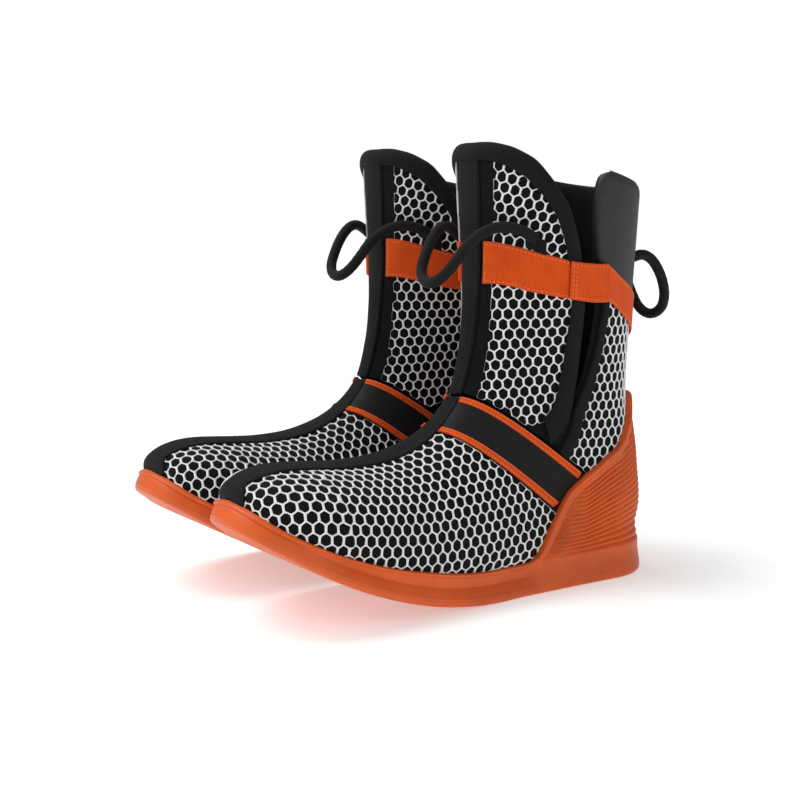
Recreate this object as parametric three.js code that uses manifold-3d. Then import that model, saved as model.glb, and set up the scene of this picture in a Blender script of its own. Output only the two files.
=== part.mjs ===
// A pair of soft ski inner boots: rubber cup soles, foam socks, net-covered panels,
// hinged tongues, instep elastics, cuff straps and cord pull loops.
// Millimetres, +Z up, toes toward -Y. The left boot stands at +X and the right one is its mirror.
import * as THREE from 'three';
import Module from 'manifold-3d';

const wasm = await Module();
wasm.setup();

// ---------------------------------------------------------------- driving sizes
const PAIR_GAP = 7;               // between the two boots' soles
const TOE_Y = -144;               // foremost point of the upper
const CREASE_Y = 8;               // instep crease, where the tongue flexes
const SHIN_Y = 21;                // front of the shaft
const HEEL_Y = 145;               // rearmost point of the upper
const NAPE_Y = 137;               // rear of the shaft above the heel
const TOE_TOP = 92;
const VAMP_TOP = 88;
const CREASE_TOP = 120;
const SHAFT_FRONT_TOP = 282;      // where the shaft's surface ends, in front
const SHAFT_BACK_TOP = 265;       // and behind
const BALL_HALF = 50;
const WAIST_HALF = 42;
const HEEL_HALF = 37;
const CUFF_HALF = 49.5;
const MEDIAL_TRIM = 1.4;          // the inner side is this much slimmer
const SOLE_UNDER = 8;             // rubber and board under the upper
const TOE_SPRING = 60;            // height of the sole's toe edge above the floor
const FLAT_END = 20;              // the sole lies flat behind this line
const TOE_SHOW = 7;               // the sole stands proud of the upper by this much at the toe
const HEEL_SHOW = 6;              // behind the heel
const BALL_SHOW = 0.5;            // at the ball's sides
const HEEL_SIDE_SHOW = 3;         // and at the heel's sides
const RIM_TOE = 14;               // height of the sole's wall at the toe
const RIM_MID = 20;               // and along the foot
const RIM_HEEL = 42;              // and inside the heel counter
const RIM_LEAN = 3;               // the wall leans in by this much at the toe's top edge
const EDGE_ROUND = 3;             // inset of the sole's lower edge
const COUNTER_WALL = 3.4;         // outer face of the heel counter above the upper
const CUP_GAP = 0.92;             // between the upper and the rubber
const NET = 1.4;                  // thickness of net, elastic and leather panels
const FOAM = 5.4;                 // thickness of the foam sock
const FOAM_GAP = 1.4;             // between panels and foam
const CUFF_EASE = 0.2;            // the cuff's sock lies this much deeper
const BOARD = 1.4;
const FOOTBED = 3.2;
const TAPE_GAP = 0.4;             // between panels and what is sewn over them
const TAPE = 1.2;                 // thickness of tapes, bindings and patches
const SEAM = 0.6;                 // half the gap between the two sides' panels, degrees
const STRAP_LIFT = 2.6;           // the strap's bridge stands this far off the tongue
const STRAP_THICK = 1.4;
const CORD_DIAMETER = 6.8;

// what follows from them
const SOLE_TOE_Y = TOE_Y - TOE_SHOW;
const SOLE_HEEL_Y = HEEL_Y + HEEL_SHOW;
const SOLE_HALF = BALL_HALF + BALL_SHOW;
const SOLE_HEEL_HALF = HEEL_HALF + HEEL_SIDE_SHOW;
const BOOT_SPACING = 2 * SOLE_HALF + PAIR_GAP;   // centre to centre

const orange = { color: 0xd9531e, roughness: 0.62, metalness: 0 };
const rubber = { color: 0xd2541f, roughness: 0.55, metalness: 0 };
const black = { color: 0x151516, roughness: 0.7, metalness: 0 };
const leather = { color: 0x1d1e20, roughness: 0.45, metalness: 0 };
const net = { color: 0x8d8f90, roughness: 0.8, metalness: 0 };
const foam = { color: 0x1b1b1d, roughness: 0.9, metalness: 0 };
const cloth = { color: 0x2b2c2e, roughness: 0.9, metalness: 0 };

// ---------------------------------------------------------------- small helpers
const lerp = (a, b, t) => a + (b - a) * t;
const clamp = (v, lo, hi) => Math.min(hi, Math.max(lo, v));
const rad = (deg) => deg * Math.PI / 180;

// Straight-line lookup through hand-chosen [x, value] pairs.
function along(points, x) {
  if (x <= points[0][0]) return points[0][1];
  for (let i = 1; i < points.length; i++) {
    const [x0, v0] = points[i - 1];
    const [x1, v1] = points[i];
    if (x <= x1) return lerp(v0, v1, (x - x0) / (x1 - x0));
  }
  return points[points.length - 1][1];
}

// Height of the sole's underside.
function rocker(y) {
  return TOE_SPRING * (Math.max(0, FLAT_END - y) / (FLAT_END - SOLE_TOE_Y)) ** 1.96;
}

// ---------------------------------------------------------------- the last
// Sections fan from upright planes at the toe to level ones at the cuff. Each has a top (front)
// point, a bottom (back) point, a half width, the share of its depth where it is widest, and
// the roundness exponents of its upper and lower halves.
const last = [];
const foreTop = [[0, TOE_TOP], [0.14, 91.5], [0.32, 89.5], [0.52, VAMP_TOP], [0.7, 91], [0.87, 101], [1, CREASE_TOP]];
const foreBottom = [0, 0.073, 0.177, 0.306, 0.469, 0.663, 0.878];
const foreHalf = [BALL_HALF, BALL_HALF, BALL_HALF, BALL_HALF - 1, WAIST_HALF + 4, WAIST_HALF, HEEL_HALF + 1];
const foreWide = [0.7, 0.7, 0.7, 0.7, 0.68, 0.64, 0.6];
const foreRound = [[2.3, 3.2], [2.3, 3.2], [2.2, 3.1], [2.2, 3], [2.1, 2.9], [2.1, 2.8], [2.1, 2.7]];
for (let k = 0; k < 7; k++) {
  const yBottom = lerp(TOE_Y, HEEL_Y, foreBottom[k]);
  const yTop = lerp(TOE_Y, CREASE_Y, foreTop[k][0]);
  last.push([yTop, foreTop[k][1], yBottom, rocker(yBottom) + SOLE_UNDER, foreHalf[k], foreWide[k], ...foreRound[k]]);
}
const shaftBack = [[HEEL_Y, 29], [HEEL_Y - 1, 68], [NAPE_Y, 108], [NAPE_Y + 0.5, lerp(108, SHAFT_BACK_TOP, 1 / 3)],
  [NAPE_Y + 3, lerp(108, SHAFT_BACK_TOP, 2 / 3)], [NAPE_Y + 6, SHAFT_BACK_TOP]];
const shaftFront = [SHIN_Y - 4, SHIN_Y - 0.5, SHIN_Y + 0.5, SHIN_Y, SHIN_Y - 1, SHIN_Y - 2];
const shaftHalf = [HEEL_HALF, HEEL_HALF + 1, HEEL_HALF + 4, CUFF_HALF - 5, CUFF_HALF - 2, CUFF_HALF];
const shaftWide = [0.58, 0.56, 0.54, 0.52, 0.51, 0.5];
for (let k = 0; k < 6; k++) {
  const zFront = lerp(CREASE_TOP, SHAFT_FRONT_TOP, (k + 1) / 6);
  last.push([shaftFront[k], zFront, ...shaftBack[k], shaftHalf[k], shaftWide[k], 2.1, k < 2 ? 2.45 : 2.3]);
}
const LAST_END = last.length - 1;

// The toe is closed by shrinking the sections in front of this line.
const CAP_Y = TOE_Y + 48;
const CAP_HIGH = 2.7;
const CAP_WIDE = 2.15;

function station(u) {
  const v = clamp(u, 0, LAST_END - 1e-9);
  const i = Math.floor(v);
  const w = v - i;
  const row = (k) => last[clamp(k, 0, LAST_END)];
  const [a, b, c, d] = [row(i - 1), row(i), row(i + 1), row(i + 2)];
  return b.map((p1, k) => {
    const v0 = (c[k] - a[k]) / 2;
    const v1 = (d[k] - p1) / 2;
    return (2 * p1 - 2 * c[k] + v0 + v1) * w ** 3 + (3 * c[k] - 3 * p1 - 2 * v0 - v1) * w ** 2 + v0 * w + p1;
  });
}

// Point of the left boot's outer face: u runs from the toe up to the cuff, deg from the
// centre line in front (0) over the outer side (90) to the sole or back (180).
function face(u, deg) {
  const [yT, zT, yB, zB, half, wide, nTop, nBottom] = station(u);
  const d = clamp((CAP_Y - yT) / (CAP_Y - TOE_Y), 0, 1);
  const high = (1 - d ** CAP_HIGH) ** (1 / CAP_HIGH);
  const broad = (1 - d ** CAP_WIDE) ** (1 / CAP_WIDE);
  const c = Math.cos(rad(deg));
  const s = Math.sin(rad(deg));
  const n = c >= 0 ? nTop : nBottom;
  const r = (Math.abs(c) ** n + Math.abs(s) ** n) ** (-1 / n);
  const q = wide - (c >= 0 ? wide : 1 - wide) * c * r;
  const depth = lerp(0.62, q, high);
  return new THREE.Vector3((half - (s < 0 ? MEDIAL_TRIM : 0)) * broad * s * r, lerp(yT, yB, depth), lerp(zT, zB, depth));
}

// The same point moved off the face along its outward normal.
function skin(u, deg, off) {
  const p = face(u, deg);
  const du = face(Math.min(u + 1e-3, LAST_END), deg).sub(face(Math.max(u - 1e-3, 0), deg));
  const dp = face(u, deg + 0.05).sub(face(u, deg - 0.05));
  return p.addScaledVector(dp.cross(du).normalize(), off);
}

// Rows for patches that start at the toe tip: close together on the rounded cap.
const CAP_SHARE = 5 / 12;
const CAP_LINE = 2;
function toeRow(t, end, first = 0.1) {
  if (t >= CAP_SHARE) return lerp(CAP_LINE, end, (t - CAP_SHARE) / (1 - CAP_SHARE));
  const y = lerp(CAP_Y, TOE_Y, Math.cos(lerp(first, Math.PI / 2, t / CAP_SHARE)) ** (2 / CAP_HIGH));
  let [lo, hi] = [0, CAP_LINE];
  for (let i = 0; i < 40; i++) {
    const mid = (lo + hi) / 2;
    if (station(mid)[0] < y) lo = mid;
    else hi = mid;
  }
  return hi;
}

// ---------------------------------------------------------------- closed bodies
function geometryOf(points, triangles) {
  const g = new THREE.BufferGeometry();
  g.setAttribute('position', new THREE.Float32BufferAttribute(points.flatMap((p) => [p.x, p.y, p.z]), 3));
  g.setIndex(triangles);
  return g;
}

// A patch of the face given thickness. at(s, t) gives [u, deg]; s runs with deg and t with u.
function slab({ at, across, up, outer, inner, ring = false, tip = false }) {
  const points = [];
  const triangles = [];
  const off = (v, s, t) => (typeof v === 'function' ? v(s, t) : v);
  const grid = (level) => {
    const index = [];
    for (let j = 0; j <= up; j++) {
      const line = [];
      for (let i = 0; i < (ring ? across : across + 1); i++) {
        if (tip && j === 0 && i > 0) {
          line.push(line[0]);
          continue;
        }
        const [u, deg] = at(i / across, j / up);
        points.push(skin(u, deg, off(level, i / across, j / up)));
        line.push(points.length - 1);
      }
      if (ring) line.push(line[0]);
      index.push(line);
    }
    return index;
  };
  const tri = (a, b, c) => {
    if (a !== b && b !== c && c !== a) triangles.push(a, b, c);
  };
  const quad = (a, b, c, d) => {
    tri(a, b, c);
    tri(a, c, d);
  };
  const out = grid(outer);
  const into = grid(inner);
  for (let j = 0; j < up; j++) {
    for (let i = 0; i < across; i++) {
      quad(out[j][i], out[j][i + 1], out[j + 1][i + 1], out[j + 1][i]);
      quad(into[j][i + 1], into[j][i], into[j + 1][i], into[j + 1][i + 1]);
    }
    if (!ring) {
      quad(into[j][0], out[j][0], out[j + 1][0], into[j + 1][0]);
      quad(out[j][across], into[j][across], into[j + 1][across], out[j + 1][across]);
    }
  }
  for (let i = 0; i < across; i++) {
    if (!tip) quad(into[0][i], into[0][i + 1], out[0][i + 1], out[0][i]);
    quad(out[up][i], out[up][i + 1], into[up][i + 1], into[up][i]);
  }
  return geometryOf(points, triangles);
}

// The same patch on the inner (medial) side.
const medial = (at) => (s, t) => {
  const [u, deg] = at(1 - s, t);
  return [u, -deg];
};

function solidOf(geometry) {
  return new wasm.Manifold(new wasm.Mesh({
    numProp: 3,
    vertProperties: new Float32Array(geometry.attributes.position.array),
    triVerts: new Uint32Array(geometry.index.array),
  }));
}

function geometryFrom(solid) {
  const { vertProperties, triVerts } = solid.getMesh();
  const g = new THREE.BufferGeometry();
  g.setAttribute('position', new THREE.BufferAttribute(new Float32Array(vertProperties), 3));
  g.setIndex([...triVerts]);
  return g;
}

// ---------------------------------------------------------------- seam lines on the face
// Lines are [deg, u] or [u, deg] pairs in the face's own coordinates.
const elasticLow = (deg) => 5.12 + 0.49 * rad(Math.min(deg, 88));
const elasticHigh = (deg) => 6.08 + 0.4 * rad(Math.min(deg, 88));
const STITCH_GAP = 0.03;          // in u, between neighbouring panels
const BINDING_WIDE = 0.2;         // in u
const spineHalf = [[0, 62], [0.1, 46], [0.2, 31], [0.3, 26], [0.44, 21.5], [0.8, 17.5], [1.26, 15.5], [2.5, 15.5],
  [4.1, 14.5], [5.5, 10.5], [6.16, 9.5], [9.1, 13], [11.7, 11.5]];
const tongueLow = [[0, 6.13], [45, 6.47], [66, 6.95], [73, 7.45], [78, 8.1], [82, 8.75], [85.5, 9.5]];
const tongueHigh = [[0, 11.62], [20, 11.64], [35, 11.59], [50, 11.45], [63, 11.16], [72.5, 10.86], [79, 10.44], [83, 10.05],
  [85.5, 9.72]];
const tongueEdge = [[7.5, 73.5], [8.1, 78], [8.75, 82], [9.2, 84.4], [9.6, 85.4], [10, 83.4], [10.44, 79], [10.86, 72.5],
  [11.16, 63], [11.45, 50], [11.59, 35], [11.64, 20], [11.62, 0]];
const cuffFront = [[6.45, 47.5], [6.95, 68.5], [7.45, 75.5], [8.42, 87], [9.16, 96], [9.72, 100.5], [10, 99.5], [10.4, 95.5],
  [10.9, 93], [11.35, 92.5], [11.52, 94], [11.62, 99]];
const pipingLine = [[6.8, 76], [7.56, 79.5], [8.42, 89], [9.16, 98], [9.7, 102.5]];
const counterFront = [[5, 128], [5.44, 100], [5.84, 88], [6.22, 85.5], [6.74, 89], [7.28, 98.5], [7.78, 113.5], [8.3, 123.5],
  [9, 142], [9.15, 152]];
const strapLow = [[0, 8.6], [17.5, 8.7], [49.5, 9.08], [78, 9.52], [104.5, 9.88], [136, 9.86], [180, 9.82]];
const strapHigh = [[0, 9.6], [18.5, 9.72], [48.5, 9.9], [74.5, 10.1], [99.5, 10.36], [113.5, 10.33], [142, 10.31], [180, 10.29]];
const QUARTER_TOP = 10.06;
const CUFF_TOP = 11.62;

const mirrored = (deg) => (deg > 180 ? 360 - deg : Math.abs(deg));

// ---------------------------------------------------------------- rubber cup sole
const soleHalf = [[-95, SOLE_HALF - 0.6], [-65, SOLE_HALF], [-30, SOLE_HALF - 1.5], [0, SOLE_HALF - 4.5], [35, SOLE_HEEL_HALF + 2],
  [75, SOLE_HEEL_HALF + 0.6], [108, SOLE_HEEL_HALF]];
const SOLE_TOE_CAP = SOLE_TOE_Y + 56;
const SOLE_HEEL_CAP = SOLE_HEEL_Y - 42;
const COUNTER_START = 47;         // where the counter's front edge leaves the rim

function soleWidth(y) {
  const toe = clamp((SOLE_TOE_CAP - y) / (SOLE_TOE_CAP - SOLE_TOE_Y), 0, 1);
  const heel = clamp((y - SOLE_HEEL_CAP) / (SOLE_HEEL_Y - SOLE_HEEL_CAP), 0, 1);
  return along(soleHalf, y) * (1 - toe ** 2.15) ** (1 / 2.15) * (1 - heel ** 2.3) ** (1 / 2.3);
}

function soleBlock() {
  const rings = [];
  const count = 30;
  for (let k = 0; k <= count; k++) {
    const y = lerp(SOLE_TOE_Y, SOLE_HEEL_Y, (1 - Math.cos(Math.PI * lerp(0.03, 0.97, k / count))) / 2);
    const low = rocker(y);
    const side = lerp(RIM_TOE, RIM_MID, clamp((y - TOE_Y - 13) / 90, 0, 1));
    const high = low + lerp(side, RIM_HEEL, clamp((y - COUNTER_START) / 14, 0, 1));
    const w = soleWidth(y);
    const inset = Math.min(EDGE_ROUND, w / 3);
    const back = RIM_LEAN * clamp((SOLE_TOE_CAP - y) / (SOLE_TOE_CAP - SOLE_TOE_Y), 0, 1) ** 2;
    const outline = [[w - inset, low, 0], [w, low + EDGE_ROUND, 0], [w - Math.min(1, w / 4), high - 1, back],
      [w - Math.min(2, w / 3), high, back]];
    const inner = outline.map(([x, z, dy]) => [-(x - (x > MEDIAL_TRIM * 3 ? MEDIAL_TRIM : 0)), z, dy]).reverse();
    rings.push([...outline, ...inner].map(([x, z, dy]) => new THREE.Vector3(x, y + dy, z)));
  }
  const n = rings[0].length;
  const triangles = [];
  for (let k = 0; k < count; k++) {
    for (let i = 0; i < n; i++) {
      const [a, b] = [k * n + i, k * n + (i + 1) % n];
      triangles.push(a, a + n, b + n, a, b + n, b);
    }
  }
  for (let i = 1; i < n - 1; i++) {
    triangles.push(0, i, i + 1);
    triangles.push(count * n, count * n + i + 1, count * n + i);
  }
  return geometryOf(rings.flat(), triangles);
}

function counterPatch() {
  return slab({
    at: (s, t) => {
      const u = lerp(5, 9.15, t);
      const front = along(counterFront, u);
      return [u, lerp(front, 360 - front, s)];
    },
    across: 18, up: 12, outer: COUNTER_WALL, inner: -1,
  });
}

function upperSolid(off) {
  const around = 44;
  const rows = 25;
  const points = [];
  const triangles = [];
  for (let j = 0; j <= rows; j++) {
    const u = j < 6 ? toeRow(j / 12, CAP_LINE, 0.06) : along([[6, 2.4], [12, 5], [22, 7.6], [25, 9.5]], j);
    for (let i = 0; i < around; i++) points.push(skin(u, i * 360 / around, off));
  }
  const ends = [points.length, points.length + 1];
  const centre = (from) => {
    const sum = new THREE.Vector3();
    for (let i = 0; i < around; i++) sum.add(points[from + i]);
    return sum.divideScalar(around);
  };
  points.push(centre(0), centre(rows * around));
  for (let i = 0; i < around; i++) {
    const k = (i + 1) % around;
    for (let j = 0; j < rows; j++) {
      const [a, b] = [j * around + i, j * around + k];
      triangles.push(a, b, b + around, a, b + around, a + around);
    }
    triangles.push(ends[0], k, i, ends[1], rows * around + i, rows * around + k);
  }
  return geometryOf(points, triangles);
}

function outsole() {
  const body = solidOf(soleBlock()).add(solidOf(counterPatch()));
  return geometryFrom(body.subtract(solidOf(upperSolid(CUP_GAP))));
}

// ---------------------------------------------------------------- sock and footbed
const FOAM_OUT = -(NET + FOAM_GAP);
const FOAM_IN = FOAM_OUT - FOAM;

function vampFoam() {
  return slab({
    at: (s, t) => [toeRow(t, elasticHigh(mirrored(s * 360)) - STITCH_GAP), s * 360],
    across: 24, up: 12, outer: FOAM_OUT, inner: FOAM_IN, ring: true, tip: true,
  });
}

// Rows above the instep seam whose front edge follows the given line.
function cuffAt(front, top, back) {
  return (s, t) => {
    let u = lerp(6.5, top, t);
    let deg = 90;
    for (let i = 0; i < 6; i++) {
      deg = lerp(along(front, u), back, s);
      u = lerp(elasticHigh(mirrored(deg)) + STITCH_GAP, top, t);
    }
    return [u, deg];
  };
}

function cuffFoam() {
  const half = cuffAt(cuffFront, CUFF_TOP - 0.05, 180);
  return slab({
    at: (s, t) => {
      if (s <= 0.5) return half(2 * s, t);
      const [u, deg] = half(2 - 2 * s, t);
      return [u, 360 - deg];
    },
    across: 18, up: 11, outer: FOAM_OUT - CUFF_EASE, inner: FOAM_IN - CUFF_EASE,
  });
}

function tongueAt(first, lastDeg, low, high) {
  return (s, t) => {
    const deg = lerp(first, lastDeg, Math.sin(s * Math.PI / 2) ** 0.9);
    return [lerp(along(low, deg), along(high, deg), t), deg];
  };
}

function tongueFoam() {
  const half = tongueAt(0, 83, tongueLow, tongueHigh);
  return slab({
    at: (s, t) => {
      const [u, deg] = half(Math.abs(2 * s - 1), t);
      return [u + 0.08 * (1 - t), s < 0.5 ? -deg : deg];
    },
    across: 14, up: 7, outer: FOAM_OUT, inner: FOAM_IN,
  });
}

function soleBoard() {
  return slab({ at: (s, t) => [toeRow(lerp(0.2, 1, t), 6.1), lerp(151, 209, s)], across: 4, up: 10, outer: -0.4, inner: -0.4 - BOARD });
}

function footbed() {
  const top = FOAM_IN - 0.9;
  return slab({ at: (s, t) => [toeRow(lerp(0.25, 1, t), 6.1), lerp(150, 210, s)], across: 4, up: 9, outer: top, inner: top - FOOTBED });
}

// ---------------------------------------------------------------- outer panels
const vampAt = (s, t) => {
  const deg = lerp(SEAM, 130, s);
  return [toeRow(t, elasticLow(deg) - STITCH_GAP / 2), deg];
};
const elasticAt = (s, t) => {
  const deg = lerp(SEAM, 104, s);
  return [lerp(elasticLow(deg) + STITCH_GAP / 2, elasticHigh(deg) - STITCH_GAP / 2, t), deg];
};
const quarterAt = cuffAt(cuffFront, QUARTER_TOP - STITCH_GAP / 2, 180 - SEAM);
const tonguePanelAt = tongueAt(SEAM, 85.5, tongueLow, tongueHigh);

function backPanel() {
  return slab({
    at: (s, t) => {
      const u = lerp(QUARTER_TOP + STITCH_GAP / 2, CUFF_TOP, t ** 0.8);
      const front = along(cuffFront, u);
      return [u, lerp(front, 360 - front, s)];
    },
    across: 18, up: 4, outer: 0, inner: -NET,
  });
}

const panel = (at, across, up) => slab({ at, across, up, outer: 0, inner: -NET });

// ---------------------------------------------------------------- sewn-on tapes
const tape = (at, across, up) => slab({ at, across, up, outer: TAPE_GAP + TAPE, inner: TAPE_GAP });

const lowBindingAt = (s, t) => {
  const deg = lerp(13, 85, s);
  return [elasticLow(deg) + BINDING_WIDE * (t - 0.5), deg];
};
const highBindingAt = (s, t) => {
  const deg = lerp(12, 84, s);
  return [elasticHigh(deg) - STITCH_GAP + BINDING_WIDE * (t - 1), deg];
};
const vampSpineAt = (s, t) => {
  const u = toeRow(lerp(1 / 12, 1, t), tongueLow[0][1] - 2 * STITCH_GAP);
  const half = along(spineHalf, u);
  return [u, lerp(-half, half, s)];
};
function vampSpine() {
  const off = (s, t) => TAPE_GAP + 0.55 * clamp((CAP_SHARE - t) / 0.2, 0, 1);
  return slab({ at: vampSpineAt, across: 8, up: 11, outer: (s, t) => off(s, t) + TAPE, inner: off });
}
const tongueSpineAt = (s, t) => {
  const u = lerp(tongueLow[0][1] + 0.02, 11.34, t);
  const half = along(spineHalf, u);
  return [u + 0.05 * Math.abs(2 * s - 1), lerp(-half, half, s)];
};
const patchAt = (s, t) => {
  const deg = lerp(16.5, 74, s);
  return [lerp(along(strapLow, deg), along(strapHigh, deg), t), deg];
};
const pipingAt = (s, t) => {
  const u = lerp(pipingLine[0][0], pipingLine[4][0], t);
  return [u, along(pipingLine, u) + lerp(-2.2, 2.8, s)];
};

// Edge binding round the tongue: the outline and the same outline drawn in toward its middle.
function tongueBinding() {
  const middle = 9;
  const inset = 0.925;
  const n = tongueEdge.length - 1;
  return slab({
    at: (s, t) => {
      const k = Math.abs(2 * s - 1);
      const i = Math.min(Math.floor((1 - k) * n), n - 1);
      const f = (1 - k) * n - i;
      const u = lerp(tongueEdge[i][0], tongueEdge[i + 1][0], f);
      const deg = lerp(tongueEdge[i][1], tongueEdge[i + 1][1], f) * lerp(inset, 1, t);
      return [middle + (u - middle) * lerp(inset, 1, t), s < 0.5 ? -deg : deg];
    },
    across: 3 * n, up: 1, outer: TAPE_GAP + TAPE + 0.1, inner: TAPE_GAP + 0.1,
  });
}

// The strap bridges the gap beside the tongue and settles onto the cuff behind it.
const FLAP_FRONT = 78;
const FLAP_BACK = 99.5;
const strapOff = (deg) => lerp(STRAP_LIFT, TAPE_GAP, clamp((mirrored(deg) - 101) / 12, 0, 1));
const strapAt = (from, to) => (s, t) => {
  const deg = lerp(from, to, s);
  return [lerp(along(strapLow, mirrored(deg)), along(strapHigh, mirrored(deg)), t), deg];
};

function strapPiece(from, to, across) {
  const off = (s) => strapOff(lerp(from, to, s));
  return slab({ at: strapAt(from, to), across, up: 2, outer: (s) => off(s) + STRAP_THICK, inner: off });
}

// ---------------------------------------------------------------- cord pull loops
// Half of each loop, from its anchor to the middle, measured from a point of the face level
// with the strap; the other half is its mirror.
const frontLoopHalf = [
  [38.5, 20.6, 6.2], [36, 13.1, 10.7], [31.5, 5.1, 13.2], [26.8, -2.9, 12.4], [22.8, -10.4, 8.2],
  [19.6, -16.9, 1.7], [17.2, -21.9, -5.8], [13.8, -26.2, -12.8], [7.8, -29, -18], [0, -30, -20],
];
const rearLoopHalf = [
  [17.5, -1.2, -7.7], [17.6, 8, -6.2], [17.6, 15.5, -9.2], [17.6, 22, -16.2],
  [17.2, 26.8, -24.7], [15.6, 30, -33.4], [12, 31.6, -40.7], [6.4, 32, -45], [0, 32, -46.5],
];
const FRONT_ANCHOR = face(9.4, 0);
const REAR_ANCHOR = face(11, 180);

function cord(half, anchor) {
  const points = [...half, ...half.slice(0, -1).reverse().map(([x, y, z]) => [-x, y, z])];
  const path = new THREE.CatmullRomCurve3(points.map((p) => new THREE.Vector3(...p).add(anchor)));
  const sides = 8;
  const circle = new THREE.Shape();
  for (let i = 0; i < sides; i++) {
    const a = i * 2 * Math.PI / sides;
    const corner = [CORD_DIAMETER / 2 * Math.cos(a), CORD_DIAMETER / 2 * Math.sin(a)];
    if (i) circle.lineTo(...corner);
    else circle.moveTo(...corner);
  }
  circle.closePath();
  return new THREE.ExtrudeGeometry(circle, { steps: 2 * (half.length - 1), extrudePath: path, curveSegments: 1 });
}

// ---------------------------------------------------------------- one boot's pieces
const FLAP_MEDIAL_END = 360 - FLAP_FRONT;
const pieces = {
  outsole: [outsole(), rubber],
  sole_board: [soleBoard(), cloth],
  footbed: [footbed(), cloth],
  vamp_foam: [vampFoam(), foam],
  cuff_foam: [cuffFoam(), foam],
  tongue_foam: [tongueFoam(), foam],
  vamp_lateral: [panel(vampAt, 12, 12), net],
  vamp_medial: [panel(medial(vampAt), 12, 12), net],
  vamp_spine: [vampSpine(), black],
  elastic_lateral: [panel(elasticAt, 11, 3), black],
  elastic_medial: [panel(medial(elasticAt), 11, 3), black],
  binding_low_lateral: [tape(lowBindingAt, 8, 1), orange],
  binding_low_medial: [tape(medial(lowBindingAt), 8, 1), orange],
  binding_high_lateral: [tape(highBindingAt, 8, 1), orange],
  binding_high_medial: [tape(medial(highBindingAt), 8, 1), orange],
  tongue_lateral: [panel(tonguePanelAt, 9, 8), net],
  tongue_medial: [panel(medial(tonguePanelAt), 9, 8), net],
  tongue_spine: [tape(tongueSpineAt, 2, 9), black],
  tongue_binding: [tongueBinding(), black],
  tongue_patch_lateral: [tape(patchAt, 7, 2), orange],
  tongue_patch_medial: [tape(medial(patchAt), 7, 2), orange],
  quarter_lateral: [panel(quarterAt, 10, 9), net],
  quarter_medial: [panel(medial(quarterAt), 10, 9), net],
  piping_lateral: [tape(pipingAt, 1, 7), black],
  piping_medial: [tape(medial(pipingAt), 1, 7), black],
  back_panel: [backPanel(), leather],
  strap_flap: [strapPiece(FLAP_FRONT, FLAP_BACK, 4), orange],
  strap_back: [strapPiece(FLAP_BACK + 1.2, FLAP_MEDIAL_END, 20), orange],
  front_loop: [cord(frontLoopHalf, FRONT_ANCHOR), black],
  rear_loop: [cord(rearLoopHalf, REAR_ANCHOR), black],
};

function mirror(geometry) {
  const g = geometry.clone();
  g.scale(-1, 1, 1);
  if (!g.index) g.setIndex([...Array(g.attributes.position.count).keys()]);
  const order = g.index.array;
  for (let i = 0; i < order.length; i += 3) [order[i], order[i + 1]] = [order[i + 1], order[i]];
  return g;
}

function boot(side, x, shape) {
  const group = new THREE.Group();
  group.name = `${side}_boot`;
  group.position.x = x;
  for (const [name, [geometry, look]] of Object.entries(pieces)) {
    const mesh = new THREE.Mesh(shape(geometry), new THREE.MeshStandardMaterial(look));
    mesh.name = `${side}_${name}`;
    mesh.geometry.computeVertexNormals();
    group.add(mesh);
  }
  return group;
}

const group = new THREE.Group();
group.name = 'ski_inner_boots';
group.add(boot('left', BOOT_SPACING / 2, (g) => g.clone()));
group.add(boot('right', -BOOT_SPACING / 2, mirror));

export default group;
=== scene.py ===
"""A pair of soft ski inner boots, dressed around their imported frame.

Measures of the last and of what is sewn on it are in millimetres, as on a pattern sheet;
everything that reaches the scene is in metres.
"""
import math

import bpy
import numpy as np
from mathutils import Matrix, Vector
from mathutils.bvhtree import BVHTree


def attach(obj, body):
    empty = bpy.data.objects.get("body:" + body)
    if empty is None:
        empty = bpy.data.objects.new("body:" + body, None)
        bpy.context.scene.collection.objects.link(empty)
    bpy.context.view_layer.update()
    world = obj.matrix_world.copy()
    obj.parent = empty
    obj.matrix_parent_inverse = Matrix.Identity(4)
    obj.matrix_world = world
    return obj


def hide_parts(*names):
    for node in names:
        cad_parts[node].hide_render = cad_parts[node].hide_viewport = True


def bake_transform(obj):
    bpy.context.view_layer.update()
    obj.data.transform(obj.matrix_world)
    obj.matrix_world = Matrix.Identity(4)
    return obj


bl_info = {
    "name": "Ski Inner Boots",
    "version": (1, 0, 0),
    "blender": (4, 5, 0),
    "location": "View3D > Sidebar > Boots",
    "description": "Builds a pair of soft ski inner boots with net panels and rubber soles",
    "category": "Add Mesh",
}

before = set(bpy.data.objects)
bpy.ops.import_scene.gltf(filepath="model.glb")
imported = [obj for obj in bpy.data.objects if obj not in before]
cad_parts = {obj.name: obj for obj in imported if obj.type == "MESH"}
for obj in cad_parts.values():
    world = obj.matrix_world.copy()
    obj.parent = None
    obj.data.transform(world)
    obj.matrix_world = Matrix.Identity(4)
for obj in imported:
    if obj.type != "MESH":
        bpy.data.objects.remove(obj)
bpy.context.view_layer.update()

# ---------------------------------------------------------------- sizes of the last
HALF_SPACING = 54.0                    # from the middle of the pair to a boot's centre line
TOE_Y, HEEL_Y = -144.0, 145.0          # ends of the upper
CREASE_Y, SHIN_Y, NAPE_Y = 8.0, 21.0, 137.0
NAPE_Z = 108.0
TOE_TOP, VAMP_TOP, CREASE_TOP = 92.0, 88.0, 120.0
SHAFT_FRONT_TOP, SHAFT_BACK_TOP = 282.0, 265.0
BALL_HALF, WAIST_HALF, HEEL_HALF, CUFF_HALF = 50.0, 42.0, 37.0, 49.5
MEDIAL_TRIM = 1.4                      # the inner side is this much slimmer
SOLE_UNDER = 8.0                       # rubber and board under the upper
TOE_SPRING, FLAT_END = 60.0, 20.0      # rise of the sole's toe, and where the rise starts
ROCKER_BEND = 1.96
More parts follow.
